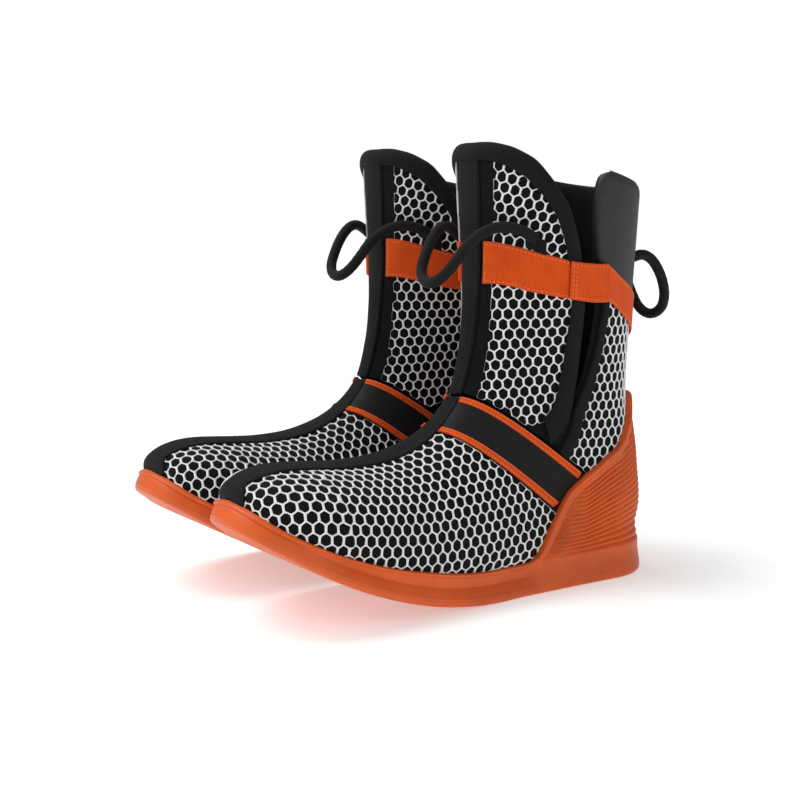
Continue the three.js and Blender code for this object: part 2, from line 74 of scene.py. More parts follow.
SOLE_TOE_Y, SOLE_HEEL_Y = TOE_Y - 7.0, HEEL_Y + 6.0
SOLE_HALF, SOLE_HEEL_HALF = BALL_HALF + 0.5, HEEL_HALF + 3.0
CAP_Y = TOE_Y + 48.0                   # the toe's rounded cap starts here
CAP_HIGH, CAP_WIDE = 2.7, 2.15         # how square it is from the side and from above
CAP_TIP = 0.62                         # depth of its foremost point
CAP_SHARE, CAP_LINE = 5 / 12, 2.0      # share of a toe piece's rows on it, and its last station

# places on the face: stations run up the front line, degrees run round from it
SEAM = 0.6                             # half the gap between the two sides' panels, degrees
STITCH_GAP = 0.03                      # gap between pieces that meet, stations
BINDING_WIDE = 0.145                   # instep bindings, stations
QUARTER_TOP, CUFF_TOP = 10.06, 11.62
BAND_LOW, BAND_LOW_RISE = 5.12, 0.49   # the instep band's edges, and their rise per radian
BAND_HIGH, BAND_HIGH_RISE = 6.08, 0.4
BAND_TURN, BAND_END, VAMP_END = 88, 104, 130
PATCH_START, PATCH_END = 15.5, 80.0
FLAP_START, FLAP_HINGE = 73.5, 100.2
BRIDGE_START, STRAP_END, BRIDGE_END = 260.5, 261.0, 286.5
MM = 0.001
TURN = 2 * math.pi
SIDES = ("left", "right")


def lerp(a, b, t):
    return a + (b - a) * t


def along(pairs, x):
    """Straight-line lookup through [x, value] pairs."""
    pairs = np.asarray(pairs, float)
    return np.interp(x, pairs[:, 0], pairs[:, 1])


def smooth(x, low, high):
    t = np.clip((np.asarray(x, float) - low) / (high - low), 0, 1)
    return t * t * (3 - 2 * t)


def rocker(y):
    """Height of the sole's underside."""
    reach = np.maximum(0, FLAT_END - np.asarray(y, float)) / (FLAT_END - SOLE_TOE_Y)
    return TOE_SPRING * reach ** ROCKER_BEND


def last_rows():
    """The last's stations: front point, back or sole point, half width, where it is widest,
    and how square it is in front and behind."""
    tops = [(0, TOE_TOP), (0.14, 91.5), (0.32, 89.5), (0.52, VAMP_TOP), (0.7, 91), (0.87, 101),
            (1, CREASE_TOP)]
    bottoms = [0, 0.073, 0.177, 0.306, 0.469, 0.663, 0.878]
    halves = [BALL_HALF, BALL_HALF, BALL_HALF, BALL_HALF - 1, WAIST_HALF + 4, WAIST_HALF,
              HEEL_HALF + 1]
    widest = [0.7, 0.7, 0.7, 0.7, 0.68, 0.64, 0.6]
    rounds = [(2.3, 3.2), (2.3, 3.2), (2.2, 3.1), (2.2, 3), (2.1, 2.9), (2.1, 2.8), (2.1, 2.7)]
    rows = []
    for k in range(7):
        y = lerp(TOE_Y, HEEL_Y, bottoms[k])
        rows.append([lerp(TOE_Y, CREASE_Y, tops[k][0]), tops[k][1], y, rocker(y) + SOLE_UNDER,
                     halves[k], widest[k], *rounds[k]])
    third = (SHAFT_BACK_TOP - NAPE_Z) / 3
    back = [(HEEL_Y, 29), (HEEL_Y - 1, 68), (NAPE_Y, NAPE_Z), (NAPE_Y + 0.5, NAPE_Z + third),
            (NAPE_Y + 3, NAPE_Z + 2 * third), (NAPE_Y + 6, SHAFT_BACK_TOP)]
    front = [SHIN_Y - 4, SHIN_Y - 0.5, SHIN_Y + 0.5, SHIN_Y, SHIN_Y - 1, SHIN_Y - 2]
    halves = [HEEL_HALF, HEEL_HALF + 1, HEEL_HALF + 4, CUFF_HALF - 5, CUFF_HALF - 2, CUFF_HALF]
    widest = [0.58, 0.56, 0.54, 0.52, 0.51, 0.5]
    for k in range(6):
        z = lerp(CREASE_TOP, SHAFT_FRONT_TOP, (k + 1) / 6)
        rows.append([front[k], z, *back[k], halves[k], widest[k], 2.1, 2.45 if k < 2 else 2.3])
    return np.array(rows, float)


LAST = last_rows()
LAST_END = len(LAST) - 1


def station(u):
    """The last's row at any place between its stations, on a smooth curve through them."""
    u = np.clip(np.asarray(u, float), 0, LAST_END - 1e-9)
    i = np.floor(u).astype(int)
    w = (u - i)[..., None]
    a, b, c, d = (LAST[np.clip(i + k, 0, LAST_END)] for k in (-1, 0, 1, 2))
    v0, v1 = (c - a) / 2, (d - b) / 2
    return (2 * b - 2 * c + v0 + v1) * w ** 3 + (3 * c - 3 * b - 2 * v0 - v1) * w ** 2 + v0 * w + b


def face(u, deg):
    """Point of the left boot's outer face: u from the toe to the cuff, deg from the front
    centre line over the outer side (90) to the sole or the back (180)."""
    u, deg = np.broadcast_arrays(np.asarray(u, float), np.asarray(deg, float))
    y_top, z_top, y_low, z_low, half, wide, n_top, n_low = np.moveaxis(station(u), -1, 0)
    d = np.clip((CAP_Y - y_top) / (CAP_Y - TOE_Y), 0, 1)
    high = np.maximum(1 - d ** CAP_HIGH, 0) ** (1 / CAP_HIGH)
    broad = np.maximum(1 - d ** CAP_WIDE, 0) ** (1 / CAP_WIDE)
    c, s = np.cos(np.radians(deg)), np.sin(np.radians(deg))
    n = np.where(c >= 0, n_top, n_low)
    r = (np.abs(c) ** n + np.abs(s) ** n) ** (-1 / n)
    q = wide - np.where(c >= 0, wide, 1 - wide) * c * r
    depth = lerp(CAP_TIP, q, high)
    x = (half - np.where(s < 0, MEDIAL_TRIM, 0)) * broad * s * r
    return np.stack([x, lerp(y_top, y_low, depth), lerp(z_top, z_low, depth)], -1)


def skin(u, deg, off=0.0):
    """The same point moved off the face along its outward normal."""
    du = face(np.minimum(u + 1e-3, LAST_END), deg) - face(np.maximum(u - 1e-3, 0), deg)
    dp = face(u, deg + 0.05) - face(u, deg - 0.05)
    n = np.cross(dp, du)
    n /= np.linalg.norm(n, axis=-1, keepdims=True) + 1e-12
    return face(u, deg) + n * np.asarray(off, float)[..., None]


def toe_row(t, end, first=0.1):
    """Rows for pieces that start at the toe tip, close together on the rounded cap."""
    t = np.asarray(t, float)
    y = lerp(CAP_Y, TOE_Y, np.cos(lerp(first, math.pi / 2, np.minimum(t / CAP_SHARE, 1)))
             ** (2 / CAP_HIGH))
    low, high = np.zeros_like(t), np.full_like(t, CAP_LINE)
    for _ in range(40):
        mid = (low + high) / 2
        before = station(mid)[..., 0] < y
        low, high = np.where(before, mid, low), np.where(before, high, mid)
    past = lerp(CAP_LINE, end, (t - CAP_SHARE) / (1 - CAP_SHARE))
    return np.where(t >= CAP_SHARE, past, high)


# ---------------------------------------------------------------- seam lines on the face
# the spine tape's half width at a station
SPINE_HALF = [[0, 120], [0.1, 100], [0.2, 42], [0.3, 27], [0.44, 21.5], [0.8, 17.5], [1.26, 15.5],
              [2.5, 15.5], [4.1, 14.5], [5.5, 10.5], [6.16, 9.5], [9.1, 13], [11.7, 11.5]]
# stations at a degree: the tongue's foot, the foot of its knit and of its net, and its top
TONGUE_LOW = [[0, 6.13], [45, 6.47], [66, 6.95], [73, 7.45], [78, 8.1], [82, 8.75], [85.5, 9.5]]
TONGUE_HEM = [[0, 6.13], [45, 6.43], [60, 6.52], [68, 6.6], [72, 6.95], [75.2, 7.45], [78.6, 8.1],
              [82, 8.75], [85.5, 9.5]]
TONGUE_NET = [[0, 6.13], [45, 6.43], [57, 6.52], [63, 6.9], [67, 7.45], [71, 8.1], [75, 8.75],
              [80, 9.5]]
TONGUE_HIGH = [[0, 11.62], [20, 11.64], [35, 11.59], [50, 11.45], [63, 11.16], [72.5, 10.86],
               [79, 10.44], [83, 10.05], [85.5, 9.72]]
# degrees at a station
TONGUE_EDGE = [[6.6, 68], [6.95, 71.5], [7.45, 75], [8.1, 78.6], [8.75, 82], [9.2, 84.4],
               [9.6, 85.4], [10, 83.4], [10.44, 79], [10.86, 72.5], [11.16, 63], [11.45, 50],
               [11.59, 35], [11.64, 20], [11.62, 0]]
CUFF_FRONT = [[6.45, 47.5], [6.95, 68.5], [7.45, 75.5], [8.42, 87], [9.16, 96], [9.72, 100.5],
              [10, 99.5], [10.4, 95.5], [10.9, 93], [11.25, 92.6], [11.42, 93.8], [11.54, 96.5],
              [11.62, 104]]
QUARTER_FRONT = [[6.45, 71], [6.95, 74.5], [7.45, 78], [8.42, 88], [9.16, 97], [9.72, 101],
                 [10.1, 99]]
PIPING_LINE = [[6.8, 76], [7.56, 79.5], [8.42, 89], [9.16, 98], [9.7, 102.5]]
COUNTER_FRONT = [[5, 128], [5.44, 100], [5.84, 88], [6.22, 85.5], [6.74, 89], [7.28, 98.5],
                 [7.78, 113.5], [8.3, 123.5], [9, 142], [9.15, 152], [9.15, 180]]
# the strap's edges, stations at a degree
STRAP_LOW = [[0, 8.6], [17.5, 8.7], [49.5, 9.08], [78, 9.52], [104.5, 9.88], [136, 9.86],
             [180, 9.82]]
STRAP_HIGH = [[0, 9.52], [18.5, 9.64], [48.5, 9.84], [74.5, 10.07], [99.5, 10.36], [113.5, 10.33],
              [142, 10.31], [180, 10.29]]
# the sole's half width along the foot
SOLE_SIDE = [[-95, SOLE_HALF - 0.6], [-65, SOLE_HALF], [-30, SOLE_HALF - 1.5],
             [0, SOLE_HALF - 4.5], [35, SOLE_HEEL_HALF + 2], [75, SOLE_HEEL_HALF + 0.6],
             [108, SOLE_HEEL_HALF]]


def folded(deg):
    """Degrees from the front line, the same on both sides of the boot."""
    return 180 - np.abs(180 - np.abs(deg))


def elastic_low(deg):
    return BAND_LOW + BAND_LOW_RISE * np.radians(np.minimum(deg, BAND_TURN))


def elastic_high(deg):
    return BAND_HIGH + BAND_HIGH_RISE * np.radians(np.minimum(deg, BAND_TURN))


def cuff_at(top, back, front=CUFF_FRONT):
    """Rows above the instep seam whose front edge follows the cuff's line."""
    def at(s, t):
        u = lerp(6.5, top, t)
        for _ in range(6):
            deg = lerp(along(front, u), back, s)
            u = lerp(elastic_high(folded(deg)) + STITCH_GAP, top, t)
        return u, deg
    return at


def tongue_at(first, end, low=TONGUE_LOW):
    """Rows over the tongue, from its foot to its rounded top."""
    def at(s, t):
        deg = lerp(first, end, np.sin(s * math.pi / 2) ** 0.9)
        return lerp(along(low, deg), along(TONGUE_HIGH, deg), t), deg
    return at


def vamp_at(s, t):
    deg = lerp(SEAM, VAMP_END, s)
    return toe_row(t, elastic_low(deg) - STITCH_GAP / 2), deg


def elastic_at(s, t):
    deg = lerp(SEAM, BAND_END, s)
    return lerp(elastic_low(deg) + STITCH_GAP / 2, elastic_high(deg) - STITCH_GAP / 2, t), deg


def lateral(at):
    """A piece on the outer side of the foot, as it is drawn."""
    return at


def medial(at):
    """The same piece on the inner side of the foot."""
    def other(s, t):
        u, deg = at(1 - s, t)
        return u, -deg
    return other


HANDS = (("lateral", lateral, 1), ("medial", medial, -1))


def across(at):
    """Both halves of a piece that is symmetric about the front centre line."""
    def both(s, t):
        u, deg = at(np.abs(2 * s - 1), t)
        return u, np.where(s < 0.5, -deg, deg)
    return both


def round_back(at):
    """Both halves of a piece that is symmetric about the back centre line."""
    def both(s, t):
        u, deg = at(1 - np.abs(2 * s - 1), t)
        return u, np.where(s > 0.5, 360 - deg, deg)
    return both


# ---------------------------------------------------------------- meshes
def deselect():
    if bpy.context.mode != "OBJECT":
        bpy.ops.object.mode_set(mode="OBJECT")
    bpy.ops.object.select_all(action="DESELECT")


def use(obj):
    deselect()
    obj.select_set(True)
    bpy.context.view_layer.objects.active = obj


def apply(obj, kind, **settings):
    """Adds a modifier to a piece and applies it."""
    use(obj)
    modifier = obj.modifiers.new(kind.title(), kind)
    for key, value in settings.items():
        setattr(modifier, key, value)
    bpy.ops.object.modifier_apply(modifier=modifier.name)


def edge_samples(count, margin, hard=False):
    """Places along a piece's width, closer at its edges, and how full it is at each."""
    if hard:
        return np.linspace(0, 1, count + 1), np.ones(count + 1)
    edge = np.array([0, 0.13, 0.38, 0.68])
    full = np.sqrt(1 - (1 - edge) ** 2)
    inner = np.linspace(margin, 1 - margin, count + 1)
    places = np.concatenate([edge * margin, inner, 1 - edge[::-1] * margin])
    return places, np.concatenate([full, np.ones(count + 1), full[::-1]])


def distances(points, axis):
    """Running length over a grid of points, along one of its directions."""
    steps = np.linalg.norm(np.diff(points, axis=axis), axis=-1)
    pad = [(0, 0), (0, 0)]
    pad[axis] = (1, 0)
    return np.pad(np.cumsum(steps, axis=axis), pad)


def cloth_uv(points):
    """Flat cloth coordinates in millimetres, measured from the middle of each row and column."""
    x, y = distances(points, 1), distances(points, 0)
    x = x - x[:, [x.shape[1] // 2]]
    return np.stack([x, y], -1)


def corner_points(mesh):
    """The number of the point that each face corner stands on."""
    loops = np.empty(len(mesh.loops), int)
    mesh.loops.foreach_get("vertex_index", loops)
    return loops


def set_cut(mesh, uv):
    """Gives a mesh its flat cut, from a place for each of its points."""
    corners = corner_points(mesh)
    while mesh.uv_layers:
        mesh.uv_layers.remove(mesh.uv_layers[0])
    layer = mesh.uv_layers.new(name="cut")
    layer.data.foreach_set("uv", np.asarray(uv).reshape(-1, 2)[corners].ravel())


def grid_quads(index):
    """Corners of every face of a grid of point numbers."""
    quads = np.stack([index[:-1, :-1], index[:-1, 1:], index[1:, 1:], index[1:, :-1]], -1)
    return quads.reshape(-1, 4)


def ring_faces(rings, count):
    """Faces that join closed rings of points, each to the next."""
    faces = []
    for j in range(rings - 1):
        a = j * count + np.arange(count)
        b = j * count + (np.arange(count) + 1) % count
        faces += np.stack([a, b, b + count, a + count], -1).tolist()
    return faces


def grid_piece(name, points):
    """A grid primitive laid over rows of points given in millimetres."""
    rows, columns = points.shape[0] - 1, points.shape[1] - 1
    deselect()
    bpy.ops.mesh.primitive_grid_add(x_subdivisions=columns, y_subdivisions=rows, size=1)
    obj = bpy.context.object
    obj.name = name
    mesh = obj.data
    mesh.name = name
    if len(mesh.vertices) != points.shape[0] * points.shape[1]:
        raise RuntimeError(f"{name}: the grid has {len(mesh.vertices)} points")
    mesh.vertices.foreach_set("co", (points * MM).ravel())
    set_cut(mesh, cloth_uv(points))
    mesh.update()
    return obj


def mesh_piece(name, points, faces, uv=None):
    """A mesh from points in millimetres."""
    mesh = bpy.data.meshes.new(name)
    mesh.from_pydata((np.asarray(points) * MM).tolist(), [], faces)
    if uv is not None:
        set_cut(mesh, uv)
    mesh.update()
    obj = bpy.data.objects.new(name, mesh)
    bpy.context.scene.collection.objects.link(obj)
    return obj


def tidy_mesh(obj, merge=0.00002):
    """Welds coincident points and drops faces with no area."""
    use(obj)
    bpy.ops.object.mode_set(mode="EDIT")
    bpy.ops.mesh.select_all(action="SELECT")
    bpy.ops.mesh.remove_doubles(threshold=merge)
    bpy.ops.mesh.dissolve_degenerate(threshold=merge)
    bpy.ops.mesh.delete_loose()
    bpy.ops.object.mode_set(mode="OBJECT")


def sheet_piece(name, at, nx, ny, top, drop=0.0, thick=1.0, margins=(0.08, 0.08), crown=None):
    """A sewn piece of even thickness whose edges turn down by drop."""
    s, fs = edge_samples(nx, margins[0], margins[0] == 0)
    t, ft = edge_samples(ny, margins[1], margins[1] == 0)
    S, T = np.meshgrid(s, t)
    u, deg = at(S, T)
    off = top - drop * (1 - np.minimum(fs[None, :], ft[:, None]))
    if crown is not None:
        off = off + crown(S, T)
    obj = grid_piece(name, skin(u, deg, off))
    apply(obj, "SOLIDIFY", thickness=thick * MM, offset=-1.0, use_even_offset=False)
    return obj


def pad_piece(name, at, nx, ny, outer, inner, margins, ring=False, puff=None):
    """A closed foam piece with rounded edges. ring joins its first and last columns and
    closes its first row at the toe tip."""
    middle, half = (outer + inner) / 2, (outer - inner) / 2
    if ring:
        s, fs = np.linspace(0, 1, nx + 1)[:-1], np.ones(nx)
        t, ft = edge_samples(ny, margins[1])
        keep = t >= margins[1] - 1e-9
        t, ft = t[keep], ft[keep]
        t[0] = 0
    else:
        s, fs = edge_samples(nx, margins[0])
        t, ft = edge_samples(ny, margins[1])
    S, T = np.meshgrid(s, t)
    u, deg = at(S, T)
    full = np.minimum(fs[None, :], ft[:, None]) * half
    extra = 0 if puff is None else puff(S, T) * (full / half)
    shell = skin(u, deg, middle + full + extra)
    lining = skin(u, deg, middle - full - extra)
    rows, columns = S.shape
    if ring:
        shell[0], lining[0] = shell[0].mean(0), lining[0].mean(0)
    index = np.arange(rows * columns).reshape(rows, columns)
    points = np.concatenate([shell.reshape(-1, 3), lining.reshape(-1, 3)])
    wide = np.concatenate([index, index[:, :1]], 1) if ring else index
    faces = []
    for grid, flip in ((wide, False), (wide + rows * columns, True)):
        quads = grid_quads(grid)
        faces += (quads[:, ::-1] if flip else quads).tolist()
    uv = cloth_uv(shell).reshape(-1, 2)
    obj = mesh_piece(name, points, faces, np.concatenate([uv, uv]))
    tidy_mesh(obj, 0.00001)
    return obj


def set_across(mesh, times, shift):
    """Multiplies and moves the points' places across the boot, in metres."""
    co = np.empty(len(mesh.vertices) * 3)
    mesh.vertices.foreach_get("co", co)
    co[0::3] = co[0::3] * times + shift
    mesh.vertices.foreach_set("co", co)
    mesh.update()


def mirrored_copy(obj, name):
    """The right boot's copy of a left boot's piece, with its own mesh."""
    mesh = obj.data.copy()
    mesh.name = name
    mesh.flip_normals()
    set_across(mesh, -1, 0)
    twin = bpy.data.objects.new(name, mesh)
    bpy.context.scene.collection.objects.link(twin)
    return twin


def put_on_boots(obj, name, body, nodes, finish, smooth_angle=40, blend=None):
    """Names a piece for the left boot, copies it for the right one, and gives each its
    place and material, and its body when it has no blend. blend is (start, end) in boot
    millimetres; a piece with a blend is baked in place and gets no body."""
    use(obj)
    bpy.ops.object.shade_smooth_by_angle(angle=math.radians(smooth_angle))
    obj.data.materials.clear()
    obj.data.materials.append(finishes()[finish])
    twin = mirrored_copy(obj, f"right_{name}")
    obj.name = f"left_{name}"
    obj.data.name = obj.name
    for side, piece, sign in zip(SIDES, (obj, twin), (1, -1)):
        set_across(piece.data, 1, sign * HALF_SPACING * MM)
        if nodes:
            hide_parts(*[f"{side}_{n}" for n in nodes])
        if blend is not None:
            ends = [((sign * (x + HALF_SPACING)) * MM, y * MM, z * MM) for x, y, z in blend]
            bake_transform(piece)
        else:
            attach(piece, body if body == "boots" else f"{side}_{body}")
    return obj, twin


def sew_on(name, at, grid, body, nodes, slot, finish, blend=None, **cut):
    """Cuts a flat piece and sews it on both boots."""
    obj = sheet_piece(name, at, *grid, **cut)
    put_on_boots(obj, name, body, nodes, finish, blend=blend)


def pad_on(name, at, grid, body, node, fill, blend=None, **cut):
    """Makes a foam piece with its knitted lining for both boots."""
    obj = pad_piece(name, at, *grid, **cut)
    put_on_boots(obj, name, body, [node], "lining", blend=blend)


def stitch_on(name, paths, pitch, body, finish, blend=None, length=1.8, width=0.42):
    """Sews rows of stitches on both boots."""
    obj = stitch_run(name, paths, pitch, length, width)
    put_on_boots(obj, name, body, [], finish, blend=blend)


# ---------------------------------------------------------------- shader maths
class Number:
    """A number in a material; arithmetic on it adds Math nodes."""

    def __init__(self, finish, socket):
        self.finish, self.socket = finish, socket

    def math(self, operation, *others):
        values = {0: self, **{i + 1: other for i, other in enumerate(others)}}
        node = self.finish.node("ShaderNodeMath", {"operation": operation}, values)
        return Number(self.finish, node.outputs[0])

    def reflected(self, operation, other):
        node = self.finish.node("ShaderNodeMath", {"operation": operation}, {0: other, 1: self})
        return Number(self.finish, node.outputs[0])

    def __add__(self, other):
        return self.math("ADD", other)

    def __sub__(self, other):
        return self.math("SUBTRACT", other)

    def __mul__(self, other):
        return self.math("MULTIPLY", other)

    def __truediv__(self, other):
        return self.math("DIVIDE", other)

    def __pow__(self, other):
        return self.math("POWER", other)

    def __rsub__(self, other):
        return self.reflected("SUBTRACT", other)

    __radd__ = __add__

    def sin(self):
        return self.math("SINE")

    def fract(self):
        return self.math("FRACT")

    def floor(self):
        return self.math("FLOOR")

    def most(self, other):
        return self.math("MAXIMUM", other)

    def least(self, other):
        return self.math("MINIMUM", other)

    def ramp(self, low, high):
        """0 below low, 1 above high, smooth between."""
        node = self.finish.node("ShaderNodeMapRange", {"interpolation_type": "SMOOTHSTEP"},
                                {"Value": self, "From Min": low, "From Max": high})
        return Number(self.finish, node.outputs[0])


class Finish:
    """A procedural material and the one method that adds its nodes."""

    def __init__(self, name, **uniform):
        self.material = bpy.data.materials.new(name)
        self.material.use_nodes = True
        self.tree = self.material.node_tree
        self.shader = self.tree.nodes["Principled BSDF"]
        for socket, value in uniform.items():
            self.shader.inputs[socket.replace("_", " ")].default_value = value

    def node(self, kind, settings=None, values=None):
        node = self.tree.nodes.new(kind)
        for key, value in (settings or {}).items():
            setattr(node, key, value)
        for key, value in (values or {}).items():
            if isinstance(value, Number):
                value = value.socket
            if isinstance(value, bpy.types.NodeSocket):
                self.tree.links.new(value, node.inputs[key])
            else:
                node.inputs[key].default_value = value
        return node

    def cut(self):
        """The two coordinates of a cloth piece's flat cut, in millimetres."""
        uv = self.node("ShaderNodeUVMap", {"uv_map": "cut"})
        parts = self.node("ShaderNodeSeparateXYZ", None, {0: uv.outputs[0]})
        return uv.outputs[0], Number(self, parts.outputs[0]), Number(self, parts.outputs[1])

    def place(self):
        """Object coordinates in metres, whole and as three numbers."""
        point = self.node("ShaderNodeTexCoord").outputs["Object"]
        parts = self.node("ShaderNodeSeparateXYZ", None, {0: point})
        return point, *[Number(self, parts.outputs[k]) for k in range(3)]

    def noise(self, vector, scale, detail=3.0, roughness=0.55):
        node = self.node("ShaderNodeTexNoise", None,
                         {"Vector": vector, "Scale": scale, "Detail": detail,
                          "Roughness": roughness})
        return Number(self, node.outputs["Fac"])

    def mix(self, amount, a, b):
        """Colour a where amount is 0 and b where it is 1."""
        node = self.node("ShaderNodeMix", {"data_type": "RGBA"}, {"Factor": amount})
        for key, colour in ((6, a), (7, b)):
            if isinstance(colour, bpy.types.NodeSocket):
                self.tree.links.new(colour, node.inputs[key])
            else:
                node.inputs[key].default_value = (*colour, 1.0)
        return node.outputs[2]

    def surface(self, colour, roughness=None, height=None, bump=0.3, depth=0.0002):
        self.tree.links.new(colour, self.shader.inputs["Base Color"])
        if roughness is not None:
            self.tree.links.new(roughness.socket, self.shader.inputs["Roughness"])
        if height is not None:
            node = self.node("ShaderNodeBump", None,
                             {"Strength": bump, "Distance": depth, "Height": height})
            self.tree.links.new(node.outputs[0], self.shader.inputs["Normal"])
        return self.material


def shade(colour, amount):
    return tuple(channel * amount for channel in colour)


def webbing(name, colour, rib=1.05, thread=0.55, sheen=0.05):
    """Ribbed woven tape: ribs run across its length, threads cross them in turn."""
    f = Finish(name, Specular_IOR_Level=0.14, Sheen_Weight=sheen, Sheen_Roughness=0.5)
    uv, x, y = f.cut()
    row = (x / rib).floor()
    rib_height = ((x / rib).fract() * math.pi).sin()
    crossing = ((y / thread + row * 0.5).fract() * math.pi).sin()
    height = rib_height * 0.75 + crossing * 0.35
    cloudy = f.noise(uv, 0.09, 2.0)
    fuzz = f.noise(uv, 2.2, 2.0)
    # painted highlight and painted shade: the colour follows the ribs' and crossings' height,
    # lighter on their crowns and darker between them, mixed with a cloudy random tone and fuzz
    depth = (height * 0.55 + cloudy * 0.35 + fuzz * 0.2).ramp(0.18, 0.9)
    tint = f.mix(depth, shade(colour, 0.62), shade(colour, 1.18))
    return f.surface(tint, 0.86 - height * 0.12, height + fuzz * 0.25, 0.55, 0.00022)


def knit(name, dark, light, gauge=0.85, strength=0.6):
    """Close knitted textile: small staggered loops with a dot of light in each."""
    f = Finish(name, Specular_IOR_Level=0.08, Sheen_Weight=0.03, Sheen_Roughness=0.6)
    uv, x, y = f.cut()
    row = (y / gauge).floor()
    across_loop = ((x / gauge + row * 0.5).fract() * math.pi).sin()
    up_loop = ((y / gauge).fract() * math.pi).sin()
    loops = across_loop * up_loop
    fuzz = f.noise(uv, 1.7, 3.0)
    cloudy = f.noise(uv, 0.07, 2.0)
    amount = (loops ** 1.6) * (0.45 + fuzz * 0.8) + (cloudy - 0.5) * 0.25
    tint = f.mix(amount.ramp(0.05, 1.05), dark, light)
    return f.surface(tint, 0.95 - loops * 0.12, loops + fuzz * 0.3, strength, 0.00025)


def rubber(name, colour):
    """Moulded rubber: fine grain, a soft bloom, and patches near the floor that are darker and
    rougher.
    """
    f = Finish(name, Specular_IOR_Level=0.42)
    point, _x, _y, z = f.place()
    grain = f.noise(point, 1700.0, 2.0, 0.6)
    bloom = f.noise(point, 26.0, 3.0)
    patch_noise = f.noise(point, 260.0, 4.0, 0.7)
    # patches of noise within about 20 mm of the floor are painted darker and made rougher
    low = 1 - z.ramp(0.0, 0.02)
    dark_low_patches = (patch_noise.ramp(0.52, 0.72) * low * 0.5).least(1.0)
    tint = f.mix(bloom.ramp(0.3, 0.75), shade(colour, 0.86), shade(colour, 1.08))
    tint = f.mix(dark_low_patches, tint, shade(colour, 0.55))
    return f.surface(tint, 0.36 + bloom * 0.12 + grain * 0.08 + dark_low_patches * 0.2,
                     grain + patch_noise * 0.25, 0.16, 0.0002)


def leather(name, colour):
    """Smooth coated leather with a fine closed grain."""
    f = Finish(name, Specular_IOR_Level=0.5)
    uv, _x, _y = f.cut()
    warp = f.noise(uv, 0.5, 2.0)
    cells = f.node("ShaderNodeTexVoronoi", {"feature": "DISTANCE_TO_EDGE"},
                   {"Vector": uv, "Scale": 1.25})
    creases = Number(f, cells.outputs["Distance"]).ramp(0.0, 0.22)
    fold = f.noise(uv, 0.11, 3.0)
    # painted shade and painted highlight: the colour darkens in the grain's creases and in the
    # folds' hollows, and lightens on the folds' crowns, which the bump raises
    tint = f.mix(creases * 0.5 + fold * 0.6, shade(colour, 0.62), shade(colour, 1.25))
    return f.surface(tint, 0.5 - creases * 0.07 + fold * 0.1 + warp * 0.05,
                     creases * 0.6 + fold * 1.4, 0.32, 0.00022)


def elastic(name, colour):
    """Smooth stretch band: fine ribs along its length under a satin face."""
    f = Finish(name, Specular_IOR_Level=0.18, Sheen_Weight=0.03, Sheen_Roughness=0.4)
    uv, x, y = f.cut()
    ribs = ((y / 0.9).fract() * math.pi).sin()
    picks = ((x / 0.7 + (y / 0.9).floor() * 0.5).fract() * math.pi).sin()
    cloudy = f.noise(uv, 0.06, 2.0)
    # painted highlight and painted shade: the colour is lighter on the ribs' and picks' crowns and
    # darker between them, with a cloudy random tone
    tint = f.mix(ribs * 0.35 + picks * 0.2 + cloudy * 0.5, shade(colour, 0.6), shade(colour, 1.5))
    return f.surface(tint, 0.62 - ribs * 0.1 + cloudy * 0.1, ribs + picks * 0.4, 0.3, 0.00012)


def net_yarn(name, colour):
    """Twisted white yarn of the open net."""
    f = Finish(name, Specular_IOR_Level=0.3, Sheen_Weight=0.1, Sheen_Roughness=0.4)
    uv, x, y = f.cut()
    twist = (((x + y * 1.7) / 0.62).fract() * math.pi).sin()
    fibres = f.noise(uv, 3.2, 3.0, 0.65)
    soiled = f.noise(uv, 0.12, 3.0)
    # painted shade and painted highlight: the twist's grooves are darker and its ridges lighter;
    # the fibres and soiled noise vary the tone at random
    amount = (twist * 0.45 + fibres * 0.7 + soiled * 0.25).ramp(0.25, 1.05)
    tint = f.mix(amount, shade(colour, 0.6), colour)
    return f.surface(tint, 0.8 - twist * 0.1, twist * 0.7 + fibres * 0.6, 0.5, 0.00015)


def braid(name, colour):
    """Round braided cord: its cut runs along and round it; its colour is painted lighter on the
    carriers as a highlight and darker between them as shade.
    """
    f = Finish(name, Specular_IOR_Level=0.12, Sheen_Weight=0.03, Sheen_Roughness=0.5)
    uv, x, y = f.cut()
    one = ((x / 2.2 + y / 2.28).fract() * math.pi).sin()
    two = ((x / 2.2 - y / 2.28).fract() * math.pi).sin()
    fibres = f.noise(uv, 2.6, 3.0, 0.6)
    carriers = one.most(two)
    # painted highlight on the carriers' crowns and painted shade between them, with random fibre
    # tone
    tint = f.mix((carriers * 0.6 + fibres * 0.5).ramp(0.2, 1.1), shade(colour, 0.4),
                 shade(colour, 2.0))
    return f.surface(tint, 0.8 - carriers * 0.1, carriers * 0.4 + fibres * 0.6, 0.5, 0.0002)


def felt(name, dark, light):
    """Brushed felt with loose fibres, for what lies inside the boot."""
    f = Finish(name, Specular_IOR_Level=0.2, Sheen_Weight=0.2, Sheen_Roughness=0.6)
    point, _x, _y, _z = f.place()
    fibres = f.noise(point, 900.0, 4.0, 0.7)
    clumps = f.noise(point, 120.0, 3.0)
    tint = f.mix((fibres * 0.7 + clumps * 0.5).ramp(0.35, 0.85), dark, light)
    return f.surface(tint, 0.88 + fibres * 0.1, fibres + clumps * 0.6, 0.5, 0.0004)


